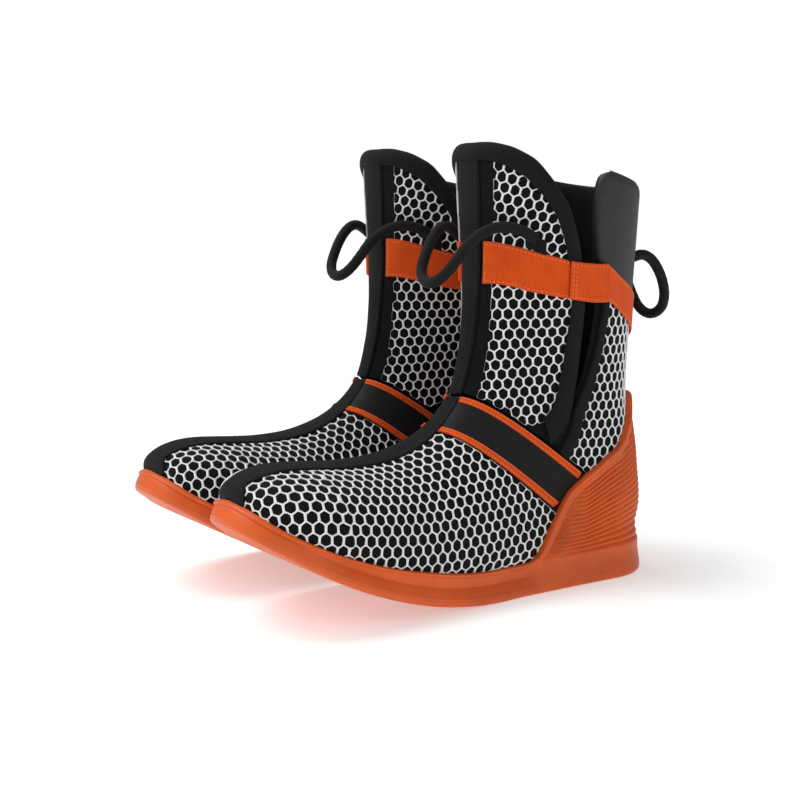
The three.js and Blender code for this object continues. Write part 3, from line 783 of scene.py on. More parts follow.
def thread(name, colour):
    """Sewing thread with its twist."""
    f = Finish(name, Specular_IOR_Level=0.35)
    point, x, y, z = f.place()
    twist = (((x + y + z * 1.3) / 0.0004).fract() * math.pi).sin()
    fibres = f.noise(point, 4000.0, 2.0)
    # painted highlight and painted shade: the twist's ridges are lighter and its grooves darker
    tint = f.mix(twist * 0.6 + fibres * 0.4, shade(colour, 0.6), shade(colour, 1.15))
    return f.surface(tint, 0.7 - twist * 0.1, twist, 0.3, 0.0001)


def floor_finish(name, colour):
    """Plain pale ground that glows a little, so that it stays bright."""
    f = Finish(name, Specular_IOR_Level=0.2, Roughness=0.7, Emission_Strength=0.38)
    point, _x, _y, _z = f.place()
    mottle = f.noise(point, 3.0, 2.0)
    return f.surface(f.mix(mottle, shade(colour, 0.995), colour))


# ---------------------------------------------------------------- the net's flat pattern
class Pattern:
    """A panel cut flat, so that net can be drawn on the table and laid back on the boot."""

    def __init__(self, at, grid, s_range, t_range, up_column):
        self.at = at
        nx, ny = grid
        s, t = np.linspace(*s_range, nx + 1), np.linspace(*t_range, ny + 1)
        self.S, self.T = (grid.ravel() for grid in np.meshgrid(s, t))
        u, deg = at(self.S, self.T)
        points = skin(u, deg, 0.0)
        obj = grid_piece("pattern", points.reshape(ny + 1, nx + 1, 3))
        use(obj)
        bpy.ops.object.mode_set(mode="EDIT")
        bpy.ops.mesh.select_all(action="SELECT")
        bpy.ops.uv.unwrap(method="MINIMUM_STRETCH", fill_holes=False, margin=0.0)
        bpy.ops.object.mode_set(mode="OBJECT")
        mesh = obj.data
        values = np.empty(len(mesh.loops) * 2)
        mesh.uv_layers["cut"].data.foreach_get("uv", values)
        flat = np.zeros((len(mesh.vertices), 2))
        flat[corner_points(mesh)] = values.reshape(-1, 2)
        bpy.data.objects.remove(obj)
        index = np.arange(len(flat)).reshape(ny + 1, nx + 1)
        a, b, c, d = grid_quads(index).T
        self.triangles = np.concatenate([np.stack([a, b, c], -1), np.stack([a, c, d], -1)])
        p, q, r = (points[self.triangles[:, k]] for k in range(3))
        real = np.linalg.norm(np.cross(q - p, r - p), axis=-1).sum() / 2
        fp, fq, fr = (flat[self.triangles[:, k]] for k in range(3))
        e, g = fq - fp, fr - fp
        signed = (e[:, 0] * g[:, 1] - e[:, 1] * g[:, 0]).sum() / 2
        flat *= math.sqrt(real / abs(signed))
        if signed < 0:
            flat[:, 0] *= -1
        column = int(round(nx * up_column))
        run = flat[index[-1, column]] - flat[index[0, column]]
        turn = math.pi / 2 - math.atan2(run[1], run[0])
        cos, sin = math.cos(turn), math.sin(turn)
        self.flat = flat @ np.array([[cos, sin], [-sin, cos]])
        solid = [(x, y, 0.0) for x, y in self.flat]
        self.tree = BVHTree.FromPolygons(solid, self.triangles.tolist())

    def locate(self, flat):
        """Panel coordinates of flat points; a point outside goes to the nearest edge."""
        spots, owners, gaps = [], [], []
        for x, y in flat:
            spot, _normal, owner, gap = self.tree.find_nearest((float(x), float(y), 0.0))
            spots.append((spot.x, spot.y))
            owners.append(owner)
            gaps.append(gap)
        spots, corners = np.array(spots), self.triangles[np.array(owners)]
        a, b, c = (self.flat[corners[:, k]] for k in range(3))
        e, g, h = b - a, c - a, spots - a
        area = e[:, 0] * g[:, 1] - e[:, 1] * g[:, 0]
        area = np.where(np.abs(area) < 1e-12, 1e-12, area)
        v = (h[:, 0] * g[:, 1] - h[:, 1] * g[:, 0]) / area
        w = (e[:, 0] * h[:, 1] - e[:, 1] * h[:, 0]) / area
        weights = np.stack([1 - v - w, v, w], -1)
        s = (self.S[corners] * weights).sum(-1)
        t = (self.T[corners] * weights).sum(-1)
        return s, t, np.array(gaps), spots


HOLE_ROUND = 0.6                       # how far a cell's hole follows its corners
HOLE_NARROW = np.array([0.93, 1.05])   # across and up
NET_PULL = 0.11                        # how unevenly the net lies
# heights of a strand's rings: its middle, its shoulder, its side and its underside
STRAND_HEIGHTS = [0.08, -0.06, -0.42, -0.95, -0.95]


def net_pull(flat):
    """The net's slight unevenness at flat places."""
    x, y = flat.T
    return NET_PULL * np.stack([np.sin(0.55 * x + 0.83 * y + 0.4) + np.sin(0.31 * x - y),
                                np.sin(0.72 * x - 0.47 * y + 2.0)], -1)


def cell_rings(pitch, row, strand):
    """The rings of points of one cell, from its outline to its hole and back under it."""
    peak = ((pitch / 2) ** 2 + row ** 2) / (2 * row)
    corners = [(0, peak), (-pitch / 2, row - peak), (-pitch / 2, peak - row), (0, -peak),
               (pitch / 2, peak - row), (pitch / 2, row - peak)]
    outline = []
    for k, corner in enumerate(corners):
        after = corners[(k + 1) % 6]
        outline += [corner, ((corner[0] + after[0]) / 2, (corner[1] + after[1]) / 2)]
    outline = np.array(outline, float)
    reach = np.linalg.norm(outline, axis=1, keepdims=True)
    hole = (lerp(pitch / 2, reach, HOLE_ROUND) - strand / 2) * HOLE_NARROW
    shoulder = outline / reach * (hole + strand * 0.26)
    inner = outline / reach * hole
    return [outline, shoulder, inner, inner, outline]


def net_piece(name, pattern, pitch, row, strand, turn=0.0):
    """The open hexagon net of a panel, drawn flat and laid on it: each cell's hole has a
    rounded rim that rises to the middle of its strands."""
    rings = cell_rings(pitch, row, strand)
    cos, sin = math.cos(turn), math.sin(turn)
    spin = np.array([[cos, sin], [-sin, cos]])
    flat = pattern.flat @ spin.T
    low, high = flat.min(0), flat.max(0)
    cells = []
    for j in range(int(low[1] / row) - 1, int(high[1] / row) + 2):
        for i in range(int(low[0] / pitch) - 2, int(high[0] / pitch) + 2):
            cells.append((i, j, (i + 0.5 * (j % 2)) * pitch, j * row))
    centres = np.array([[x, y] for _i, _j, x, y in cells]) @ spin
    gaps = pattern.locate(centres)[2]
    kept = [(cell, centre) for cell, centre, gap in zip(cells, centres, gaps) if gap < strand * 0.3]
    have = {(i, j) for (i, j, _x, _y), _c in kept}
    points, offs, faces = [], [], []
    for (i, j, _x, _y), centre in kept:
        start = len(points) * 12
        for ring, height in zip(rings, STRAND_HEIGHTS):
            points.append(ring @ spin + centre)
            offs.append(np.full(12, height))
        shift = j % 2
        around = [(i - 1 + shift, j + 1), (i - 1, j), (i - 1 + shift, j - 1),
                  (i + shift, j - 1), (i + 1, j), (i + shift, j + 1)]
        for k in range(12):
            n = (k + 1) % 12
            for a in range(4):
                p, q = start + a * 12, start + (a + 1) * 12
                faces.append((p + k, p + n, q + n, q + k))
            if around[k // 2] not in have:
                faces.append((start + 48 + k, start + 48 + n, start + n, start + k))
    flat_points = np.concatenate(points)
    unique, back = np.unique(np.round(flat_points, 4), axis=0, return_inverse=True)
    s, t, _gaps, spots = pattern.locate(unique + net_pull(unique))
    u, deg = pattern.at(s, t)
    back = back.reshape(-1)
    laid = skin(u[back], deg[back], np.concatenate(offs))
    obj = mesh_piece(name, laid, faces, spots[back])
    tidy_mesh(obj, 0.00003)
    return obj


# ---------------------------------------------------------------- the sole
TOE_FAN_Y, HEEL_FAN_Y = -92.0, 104.0   # the columns fan out from here round toe and heel
TOE_ROUND, TOE_SQUARE = 56.0, 2.15     # length of the outline's toe, and how square it is
HEEL_ROUND, HEEL_SQUARE = 42.0, 2.3
RIM_TOE, RIM_MID = 14.0, 20.0          # height of the wall at the toe and along the foot
EDGE_ROUND = 3.0                       # radius of the lower edge
SIDE_WALL, COUNTER_WALL = 2.3, 3.6     # rubber outside the upper
WELL_FLOOR = 9.5                       # floor of the well inside, above the underside
FACE_LOW, FACE_LOW_OUT = 10.5, 11.5    # lowest heights at which the face is measured
RIBS_FROM, RIBS_FULL = 20, 23          # height over the floor at which the ribs start
RIB_MARGIN, RIB_MARGIN_END = 3.6, 6.0  # how far they stay from the counter's edge
BEAD_WIDE, BEAD_HIGH = 1.0, 0.75
GROOVE_AT, GROOVE_WIDE, GROOVE_DEEP = 2.7, 0.45, 0.35
PARTING_AT, PARTING_WIDE, PARTING_HIGH = 5.2, 0.55, 0.16
CLEAT_PITCH, CLEAT_HIGH = 9.0, 0.9     # cross bars of the tread


def sole_width(y):
    """The sole's half width on the floor."""
    toe = np.clip((SOLE_TOE_Y + TOE_ROUND - y) / TOE_ROUND, 0, 1)
    heel = np.clip((y - SOLE_HEEL_Y + HEEL_ROUND) / HEEL_ROUND, 0, 1)
    return (along(SOLE_SIDE, y) * (1 - toe ** TOE_SQUARE) ** (1 / TOE_SQUARE)
            * (1 - heel ** HEEL_SQUARE) ** (1 / HEEL_SQUARE))


def sole_columns():
    """Columns round the sole, from the toe over the outer side to the heel and back: each
    has an origin on the centre line and a level direction."""
    toe = [(TOE_FAN_Y, a) for a in np.linspace(-90, 0, 40)[:-1]]
    side = [(y, 0.0) for y in np.linspace(TOE_FAN_Y, HEEL_FAN_Y, 110)]
    heel = [(HEEL_FAN_Y, a) for a in np.linspace(0, 90, 46)[1:]]
    outer = toe + side + heel
    inner = [(y, 180 - a) for y, a in outer[::-1][1:-1]]
    columns = np.array(outer + inner)
    return columns[:, 0], np.radians(columns[:, 1])


def outline_reach(origin, angle):
    """Distance from each column's origin to the sole's outline at the floor."""
    y = lerp(SOLE_TOE_Y, SOLE_HEEL_Y, (1 - np.cos(np.linspace(0, math.pi, 1200))) / 2)
    width = sole_width(y)
    reach = np.empty(len(origin))
    for k, (y0, a) in enumerate(zip(origin, angle)):
        trim = MEDIAL_TRIM if math.cos(a) < -1e-6 else 0.0
        x = np.maximum(width - trim, 0) * (1 if math.cos(a) >= 0 else -1)
        off_line = x * math.sin(a) - (y - y0) * math.cos(a)
        ahead = x * math.cos(a) + (y - y0) * math.sin(a)
        off_line[ahead < 0] = np.nan
        cross = np.where(off_line[:-1] * off_line[1:] <= 0)[0]
        if len(cross) == 0:
            i = int(np.nanargmin(np.abs(off_line)))
            reach[k] = ahead[i]
            continue
        i = cross[np.argmax(ahead[cross])]
        f = off_line[i] / (off_line[i] - off_line[i + 1] + 1e-12)
        reach[k] = lerp(ahead[i], ahead[i + 1], f)
    return reach


def last_tree():
    """The face as a fine closed mesh, for measuring where a level line meets it."""
    u = np.concatenate([toe_row(np.linspace(0.005, 1, 60) * CAP_SHARE, CAP_LINE, 0.02),
                        np.linspace(CAP_LINE, 10.5, 160)[1:]])
    deg = np.linspace(-180, 180, 361)
    points = skin(*np.meshgrid(u, deg, indexing="ij"), 0.0)
    index = np.arange(len(u) * len(deg)).reshape(len(u), len(deg))
    return BVHTree.FromPolygons([Vector(p) for p in points.reshape(-1, 3)],
                                grid_quads(index).tolist())


def skin_reach(tree, origin, angle, heights):
    """Distance from each column's line to the face, at the given heights."""
    reach = np.full(heights.shape, np.nan)
    for k in range(heights.shape[1]):
        ray = Vector((math.cos(angle[k]), math.sin(angle[k]), 0))
        for j in range(heights.shape[0]):
            hit = tree.ray_cast(Vector((0.013, origin[k], heights[j, k])), ray)
            if hit[0] is not None:
                reach[j, k] = hit[3]
    columns = np.arange(heights.shape[1])
    for row in reach:
        gaps = np.isnan(row)
        if gaps.mean() > 0.2:
            raise RuntimeError("too much of the sole misses the boot's face")
        row[gaps] = np.interp(columns[gaps], columns[~gaps], row[~gaps])
    return reach


def counter_line(origin, angle, outer):
    """Height of the heel counter's edge over each column that it crosses."""
    pairs = np.array(COUNTER_FRONT)
    u = np.interp(np.linspace(0, 1, 400), np.linspace(0, 1, len(pairs)), pairs[:, 0])
    deg = np.interp(np.linspace(0, 1, 400), np.linspace(0, 1, len(pairs)), pairs[:, 1])
    kernel = np.ones(13) / 13
    u = np.convolve(np.pad(u, 6, mode="edge"), kernel, "valid")
    deg = np.convolve(np.pad(deg, 6, mode="edge"), kernel, "valid")
    edge = skin(u, deg if outer else -deg, 1.5)
    # place along the columns: millimetres beside the foot, then degrees round the heel
    back = np.degrees(np.arctan2(edge[:, 1] - HEEL_FAN_Y, np.abs(edge[:, 0])))
    spot = np.where(edge[:, 1] > HEEL_FAN_Y, HEEL_FAN_Y + back, edge[:, 1])
    turn = np.degrees(angle)
    turn = np.where(turn > 90, 180 - turn, turn)
    column = np.where(turn > 0, HEEL_FAN_Y + turn, origin)
    order = np.argsort(spot)
    spot, height = spot[order], edge[order, 2]
    height = np.maximum.accumulate(height)
    return np.where(column >= spot[0], np.interp(column, spot, height), -1.0)


def rim_lines(origin, angle, edge_y, low):
    """Height of the wall beside the foot, and of its top edge with the heel counter."""
    side = lerp(RIM_TOE, RIM_MID, np.clip((edge_y - TOE_Y - 13) / 90, 0, 1))
    counter = np.where(np.cos(angle) >= -1e-9, counter_line(origin, angle, True),
                       counter_line(origin, angle, False))
    top = np.maximum(low + side, counter)
    blur = np.array([1, 2, 3, 2, 1]) / 9
    for _ in range(2):
        top = np.convolve(np.pad(top, 2, mode="wrap"), blur, "valid")
    return side, top


def rib_shape(z, origin, angle, pitch):
    """The ribs' profile round the heel: 1 on a rib, 0 in a groove. Ribs that stand high tilt
    up to the back."""
    from_back = np.abs(np.degrees(angle) - 90) * 0.62 + np.maximum(HEEL_FAN_Y - origin, 0)
    from_back = np.sqrt(np.minimum(from_back, 75) ** 2 + 81) - 9
    at_back = z
    for _ in range(12):
        at_back = z + from_back * (0.04 + 0.5 * np.clip((at_back - 25) / 75, 0, 1))
    return np.abs(np.sin(math.pi * at_back / pitch)) ** 0.7


def gap_to_edge(wall, edge):
    """Distance of each point of the wall from the line of its top edge."""
    gap = np.full(wall.shape[:2], 99.0)
    for shift in range(-16, 17):
        gap = np.minimum(gap, np.linalg.norm(wall - np.roll(edge, shift, axis=0), axis=-1))
    return gap


def sole_piece(name, rib_pitch, rib_depth):
    """The cup sole, from the middle of its tread out, up its wall and down its well."""
    origin, angle = sole_columns()
    base = outline_reach(origin, angle)
    cos, sin = np.cos(angle), np.sin(angle)

    def ring(reach, z):
        return np.stack([reach * cos, origin + reach * sin, z], -1)

    def level(reach, over):
        return ring(reach, rocker(origin + reach * sin) + over)

    edge_y = origin + base * sin
    low = rocker(edge_y)
    side, top = rim_lines(origin, angle, edge_y, low)
    tree = last_tree()
    v = np.concatenate([np.linspace(0, 0.12, 10)[:-1], np.linspace(0.12, 1, 150)])[:, None]
    start = low + EDGE_ROUND
    z = start + v * (top - start)
    touch = skin_reach(tree, origin, angle, np.maximum(z, low + FACE_LOW_OUT))
    is_counter = smooth(top - low - side, 0, 6)
    wall = lerp(SIDE_WALL, COUNTER_WALL, is_counter)
    meet = low + side
    up = np.clip((z - start) / (np.minimum(meet, top) - start), 0, 1)
    reach = np.where(z < meet, lerp(base, touch + wall, up ** 1.6), touch + wall)
    # under the heel counter a block with a slight waist, which closes on the upper above it
    block = base - 1.6 * np.sin(np.clip((z - start) / 30, 0, 1) * math.pi) ** 2 - 0.6 * v
    heel = lerp(np.maximum(block, touch + wall), touch + wall, smooth(z - low, 20, 38))
    reach = lerp(reach, heel, is_counter)

    gap = gap_to_edge(ring(reach, z), ring(touch[-1] + wall, top))
    ribbed = (smooth(z - low, RIBS_FROM, RIBS_FULL)
              * smooth(gap, RIB_MARGIN, RIB_MARGIN_END) * is_counter)
    reach = reach - rib_depth * (1 - rib_shape(z, origin, angle, rib_pitch)) * ribbed
    # a raised bead along the top edge over a fine groove, and a parting line low on the wall
    bead = np.sqrt(np.clip(1 - ((gap - BEAD_WIDE) / BEAD_WIDE) ** 2, 0, 1)) * BEAD_HIGH
    groove = np.exp(-((gap - GROOVE_AT) / GROOVE_WIDE) ** 2) * GROOVE_DEEP
    reach = reach + bead - groove
    reach = reach + np.exp(-((z - low - PARTING_AT) / PARTING_WIDE) ** 2) * PARTING_HIGH

    shells = []
    for fraction in (0.0, 0.3, 0.6, 0.8, 0.92):
        inner = (base - EDGE_ROUND) * fraction
        bar = np.abs((((origin + inner * sin) / CLEAT_PITCH) % 1) - 0.5)
        shells.append(level(inner, CLEAT_HIGH * smooth(bar, 0.34, 0.42) * (0.1 < fraction < 0.9)))
    for turn in (0, 30, 60):
        a = math.radians(turn)
        shells.append(ring(base - EDGE_ROUND * (1 - math.sin(a)),
                           low + EDGE_ROUND * (1 - math.cos(a))))
    shells += [ring(reach[j], z[j]) for j in range(len(v))]
    for share, rise in ((0.62, 0.35), (0.25, 0.55), (-0.05, 0.35)):
        shells.append(ring(touch[-1] + wall * share, top + rise))
    for share in (0.0, 0.04, 0.1, 0.3, 0.5, 0.7, 0.85, 1.0):
        heights = lerp(np.maximum(top - 1.5, low + WELL_FLOOR), low + WELL_FLOOR, share)
        measured = np.maximum(heights, low + FACE_LOW)[None, :]
        inside = skin_reach(tree, origin, angle, measured)[0] - 0.4
        shells.append(ring(inside, heights))
    shells += [level(inside * fraction, SOLE_UNDER + 0.3) for fraction in (0.8, 0.4, 0.0)]
    obj = mesh_piece(name, np.concatenate(shells), ring_faces(len(shells), len(origin)))
    tidy_mesh(obj, 0.00003)
    return obj


# ---------------------------------------------------------------- cords
# half of each loop, from its anchor to the boot's centre line
FRONT_ROUTE = [
    [38.5, 42, 218], [36, 34.5, 222.5], [31.5, 26.5, 225], [26.8, 18.5, 224.2],
    [22.8, 11, 220], [19.6, 4.5, 213.5], [17.2, -0.5, 206], [13.8, -4.8, 199],
    [7.8, -7.6, 193.8], [0, -8.6, 191.8]]
REAR_ROUTE = [
    [17.5, 138.8, 205], [17.6, 148, 206.5], [17.6, 155.5, 203.5], [17.6, 162, 196.5],
    [17.2, 166.8, 188], [15.6, 170, 179.3], [12, 171.6, 172], [6.4, 172, 167.7],
    [0, 172, 166.2]]


def run_along(line):
    """Running length at each point of a line."""
    return np.concatenate([[0], np.cumsum(np.linalg.norm(np.diff(line, axis=0), axis=1))])


def points_along(line, run, places):
    """Points of a line at the given running lengths."""
    return np.stack([np.interp(places, run, line[:, k]) for k in range(3)], -1)


def route(half, step=0.7):
    """A smooth line through the points of half a loop and their mirror, evenly spaced."""
    points = np.array(half + [[-x, y, z] for x, y, z in half[:-1]][::-1], float)
    ends = np.concatenate([[2 * points[0] - points[1]], points, [2 * points[-1] - points[-2]]])
    line = []
    for k in range(len(points) - 1):
        a, b, c, d = ends[k:k + 4]
        t0, t1 = 0.0, math.sqrt(np.linalg.norm(b - a))
        t2 = t1 + math.sqrt(np.linalg.norm(c - b))
        t3 = t2 + math.sqrt(np.linalg.norm(d - c))
        for t in np.linspace(t1, t2, 16, endpoint=False):
            p, q, r = (lerp(e, f, (t - lo) / (hi - lo)) for e, f, lo, hi in
                       ((a, b, t0, t1), (b, c, t1, t2), (c, d, t2, t3)))
            p, q = lerp(p, q, (t - t0) / (t2 - t0)), lerp(q, r, (t - t1) / (t3 - t1))
            line.append(lerp(p, q, (t - t1) / (t2 - t1)))
    line.append(points[-1])
    line = np.array(line)
    run = run_along(line)
    even = np.linspace(0, run[-1], int(round(run[-1] / step)) + 1)
    return points_along(line, run, even), run[-1]


PLAIT_LENGTH, PLAIT_DEPTH = 4.4, 0.2   # one crossing of the braid's strands


def cord_piece(name, half, diameter, sides=28):
    """A braided round cord along a loop's route, closed at both ends."""
    line, length = route(half)
    ahead = np.gradient(line, axis=0)
    ahead /= np.linalg.norm(ahead, axis=1, keepdims=True)
    normal = np.cross(ahead[0], [0, 0, 1.0])
    normal /= np.linalg.norm(normal)
    frames = []
    for tangent in ahead:
        normal = normal - tangent * (normal @ tangent)
        normal /= np.linalg.norm(normal)
        frames.append((normal, np.cross(tangent, normal)))
    around = np.arange(sides) / sides
    radius = diameter / 2
    points, uv = [], []
    for k, (p, (n, b)) in enumerate(zip(line, frames)):
        x = length * k / (len(line) - 1)
        y = around * 4
        one = np.abs(np.sin(math.pi * (x / PLAIT_LENGTH + y)))
        two = np.abs(np.sin(math.pi * (x / PLAIT_LENGTH - y)))
        r = radius - PLAIT_DEPTH + PLAIT_DEPTH * np.maximum(one, two) ** 0.8
        a = around * TURN
        points.append(p + np.outer(r * np.cos(a), n) + np.outer(r * np.sin(a), b))
        uv.append(np.stack([np.full(sides, x), around * TURN * radius], -1))
    rows = len(points)
    points = np.concatenate(points + [line[:1], line[-1:]])
    faces = ring_faces(rows, sides)
    first, final, end = rows * sides, rows * sides + 1, (rows - 1) * sides
    for i in range(sides):
        n = (i + 1) % sides
        faces += [(first, n, i), (final, end + i, end + n)]
    uv = np.concatenate(uv + [[[0, 0]], [[length, 0]]])
    return mesh_piece(name, points, faces, uv), line, length


# ---------------------------------------------------------------- stitches
def stitch_run(name, paths, pitch, length, width):
    """Rows of stitches along lines on the face. A stitch is modelled once and copied.
    Each path is (u, deg, off) with arrays of places."""
    deselect()
    bpy.ops.mesh.primitive_uv_sphere_add(segments=6, ring_count=4, radius=0.5)
    one = bpy.context.object
    bpy.ops.object.mode_set(mode="EDIT")
    bpy.ops.mesh.select_all(action="SELECT")
    bpy.ops.transform.resize(value=(length, width, width * 0.8))
    bpy.ops.object.mode_set(mode="OBJECT")
    shape = np.array([v.co for v in one.data.vertices])
    polygons = [tuple(p.vertices) for p in one.data.polygons]
    bpy.data.objects.remove(one)
    points, faces = [], []
    for u, deg, off in paths:
        fine = np.linspace(0, 1, 600)
        rest = np.linspace(0, 1, len(u))
        u, deg = np.interp(fine, rest, u), np.interp(fine, rest, deg)
        off = np.interp(fine, rest, np.broadcast_to(off, rest.shape))
        line = skin(u, deg, off)
        run = run_along(line)
        count = int(run[-1] / pitch)
        if count < 1:
            continue
        spots = (np.arange(count) + 0.5) * run[-1] / count
        at = np.interp(spots, run, fine)
        centre = points_along(line, run, spots)
        ahead_of = points_along(line, run, spots + 0.5) - points_along(line, run, spots - 0.5)
        uu, dd = np.interp(at, fine, u), np.interp(at, fine, deg)
        up = skin(uu, dd, 1.0) - skin(uu, dd, 0.0)
        for c, ahead, n in zip(centre, ahead_of, up):
            ahead = ahead / np.linalg.norm(ahead)
            n = n - ahead * (n @ ahead)
            n /= np.linalg.norm(n)
            basis = np.stack([ahead, np.cross(n, ahead), n])
            start = len(points) * len(shape)
            points.append(shape @ basis + c)
            faces += [tuple(i + start for i in polygon) for polygon in polygons]
    return mesh_piece(name, np.concatenate(points), faces)


# ---------------------------------------------------------------- what a user would change
def length_property(name, description, default):
    return bpy.props.FloatProperty(name=name, description=description, default=default,
                                   unit="LENGTH")


class BootSizes(bpy.types.PropertyGroup):
    net_pitch: length_property("Net pitch", "Width of one cell of the net", 0.0067)
    net_row: length_property("Net row", "Height between rows of the net", 0.0059)
    strand: length_property("Net strand", "Width of the net's strands", 0.0009)
    rib_pitch: length_property("Rib pitch", "Height of one rib on the heel counter", 0.0049)
    rib_depth: length_property("Rib depth", "Depth of the grooves between the ribs", 0.0019)
    cord: length_property("Cord", "Diameter of the pull loops' cord", 0.0068)
    stitch: length_property("Stitch", "Spacing of the stitches", 0.0027)


def colour_property(name, description, default):
    return bpy.props.FloatVectorProperty(name=name, description=description, default=default,
                                         subtype="COLOR", size=3, min=0.0, max=1.0)


class BootColours(bpy.types.PropertyGroup):
    rubber: colour_property("Rubber", "Cup sole and heel counter", (0.68, 0.098, 0.008))
    webbing: colour_property("Webbing", "Strap, patches and instep bindings", (0.64, 0.072, 0.006))
    net: colour_property("Net", "Yarn of the open net", (0.95, 0.95, 0.94))
    textile: colour_property("Textile", "Knit under the net", (0.006, 0.006, 0.0065))
    tape: colour_property("Tape", "Spine, bindings and piping", (0.0065, 0.0063, 0.0066))
    leather: colour_property("Leather", "Panel behind the calf", (0.0085, 0.0085, 0.0087))
    lining: colour_property("Lining", "Sock and footbed", (0.008, 0.008, 0.0085))
    floor: colour_property("Floor", "Ground under the boots", (0.84, 0.9, 0.905))


FINISHES = {}                          # filled once, by name


def finishes():
    """Every material, made once from the scene's colours."""
    if FINISHES:
        return FINISHES
    c = bpy.context.scene.boot_colours
    textile, lining = tuple(c.textile), tuple(c.lining)
    FINISHES.update(
        rubber=rubber("moulded_rubber", tuple(c.rubber)),
        webbing=webbing("woven_webbing", tuple(c.webbing)),
        net=net_yarn("net_yarn", tuple(c.net)),
        textile=knit("backing_knit", shade(textile, 0.45), shade(textile, 2.6)),
        tape=webbing("grosgrain_tape", tuple(c.tape), 0.9, 0.6, 0.02),
        leather=leather("coated_leather", tuple(c.leather)),
        elastic=elastic("stretch_band", tuple(c.tape)),
        lining=knit("lining_jersey", shade(lining, 0.5), shade(lining, 2.4), 1.0, 0.5),
        cord=braid("braided_cord", tuple(c.tape)),
        felt=felt("footbed_felt", shade(lining, 0.8), shade(lining, 3.2)),
        board=felt("lasting_board", shade(lining, 1.4), shade(lining, 5.0)),
        orange_thread=thread("orange_thread", (0.9, 0.3, 0.1)),
        black_thread=thread("black_thread", (0.03, 0.03, 0.031)),
        floor=floor_finish("studio_floor", tuple(c.floor)),
    )
    return FINISHES


class BootOperator(bpy.types.Operator):
    bl_options = {"REGISTER", "UNDO"}


CAMERA_PLACE = (0.7407, -0.4825, 0.234)
CAMERA_AZIMUTH, CAMERA_PITCH = 56.6, 7.735
SENSOR_WIDTH, LENS_SHARE = 36.0, 1.73  # the lens is this many times as long as the sensor is wide


class BOOTS_OT_camera(BootOperator):
    """Set the camera in front of the pair, to the side of their toes"""
    bl_idname = "boots.camera"
    bl_label = "Camera"

    def execute(self, context):
        data = bpy.data.cameras.new("camera")
        data.sensor_width = SENSOR_WIDTH
        data.lens = SENSOR_WIDTH * LENS_SHARE
        data.clip_start, data.clip_end = 0.05, 50.0
        camera = bpy.data.objects.new("camera", data)
        context.scene.collection.objects.link(camera)
        camera.location = CAMERA_PLACE
        camera.rotation_euler = (math.radians(90 - CAMERA_PITCH), 0, math.radians(CAMERA_AZIMUTH))
        context.scene.camera = camera
        return {"FINISHED"}


class BOOTS_OT_cords(BootOperator):
    """Make the braided cord pull loops at the tongue and behind the cuff"""
    bl_idname = "boots.cords"
    bl_label = "Cord loops"

    def execute(self, context):
        diameter = context.scene.boot_sizes.cord / MM
        for name, half, body in (("front_loop", FRONT_ROUTE, "front_cord"),
                                 ("rear_loop", REAR_ROUTE, "rear_cord")):
            obj, line, length = cord_piece(name, half, diameter)
            pieces = put_on_boots(obj, f"{name}_cord", body, [name], "cord", 60)
            for piece, sign in zip(pieces, (1, -1)):
                path = [(sign * (x + HALF_SPACING) * MM, y * MM, z * MM) for x, y, z in line]
        return {"FINISHED"}


class BOOTS_OT_sole(BootOperator):
    """Mould the rubber cup sole with its ribbed heel counter"""
    bl_idname = "boots.sole"
    bl_label = "Cup sole"

    def execute(self, context):
        sizes = context.scene.boot_sizes
        obj = sole_piece("cup_sole", sizes.rib_pitch / MM, sizes.rib_depth / MM)
        put_on_boots(obj, "cup_sole", "boots", ["outsole"], "rubber", 50)
        return {"FINISHED"}


# two points on the tongue's centre line, low and high, given to the tongue's pieces as their blend
TONGUE_BLEND = ((0, 8, 116), (0, 8, 146))
FOAM_OUT, FOAM_IN = -1.5, -8.2


def foot_at(s, t):
    deg = s * 360
    return toe_row(t, elastic_high(folded(deg)) - 0.02), deg


def footbed_at(s, t):
    return toe_row(lerp(0.25, 1, t), 6.15), lerp(148, 212, s)


def foam_puff(s, t):
    return 0.35 * np.sin(np.clip(t, 0, 1) * math.pi) ** 0.5


class BOOTS_OT_sock(BootOperator):
    """Make the foam sock: foot, cuff and tongue pads with their knitted lining, and the footbed"""
    bl_idname = "boots.sock"
    bl_label = "Foam sock"

    def execute(self, context):
        pad_on("vamp_pad", foot_at, (72, 60), "boots", "vamp_foam", 0.85, outer=FOAM_OUT,
               inner=FOAM_IN, margins=(0.02, 0.03), ring=True)
        pad_on("cuff_pad", round_back(cuff_at(CUFF_TOP, 180)), (96, 60), "boots", "cuff_foam",
               0.85, outer=FOAM_OUT + 0.3, inner=FOAM_IN - 0.4, margins=(0.016, 0.035),
               puff=foam_puff)
        pad_on("tongue_pad", across(tongue_at(0, 85.0)), (72, 56), "tongue", "tongue_foam", 0.8,
               TONGUE_BLEND, outer=-1.2, inner=-8.0, margins=(0.03, 0.03), puff=foam_puff)
        sew_on("footbed_felt", footbed_at, (20, 60), "boots", ["footbed"], "footbed", "felt",
               top=-9.2, drop=2.2, thick=2.6, margins=(0.12, 0.05))
        return {"FINISHED"}


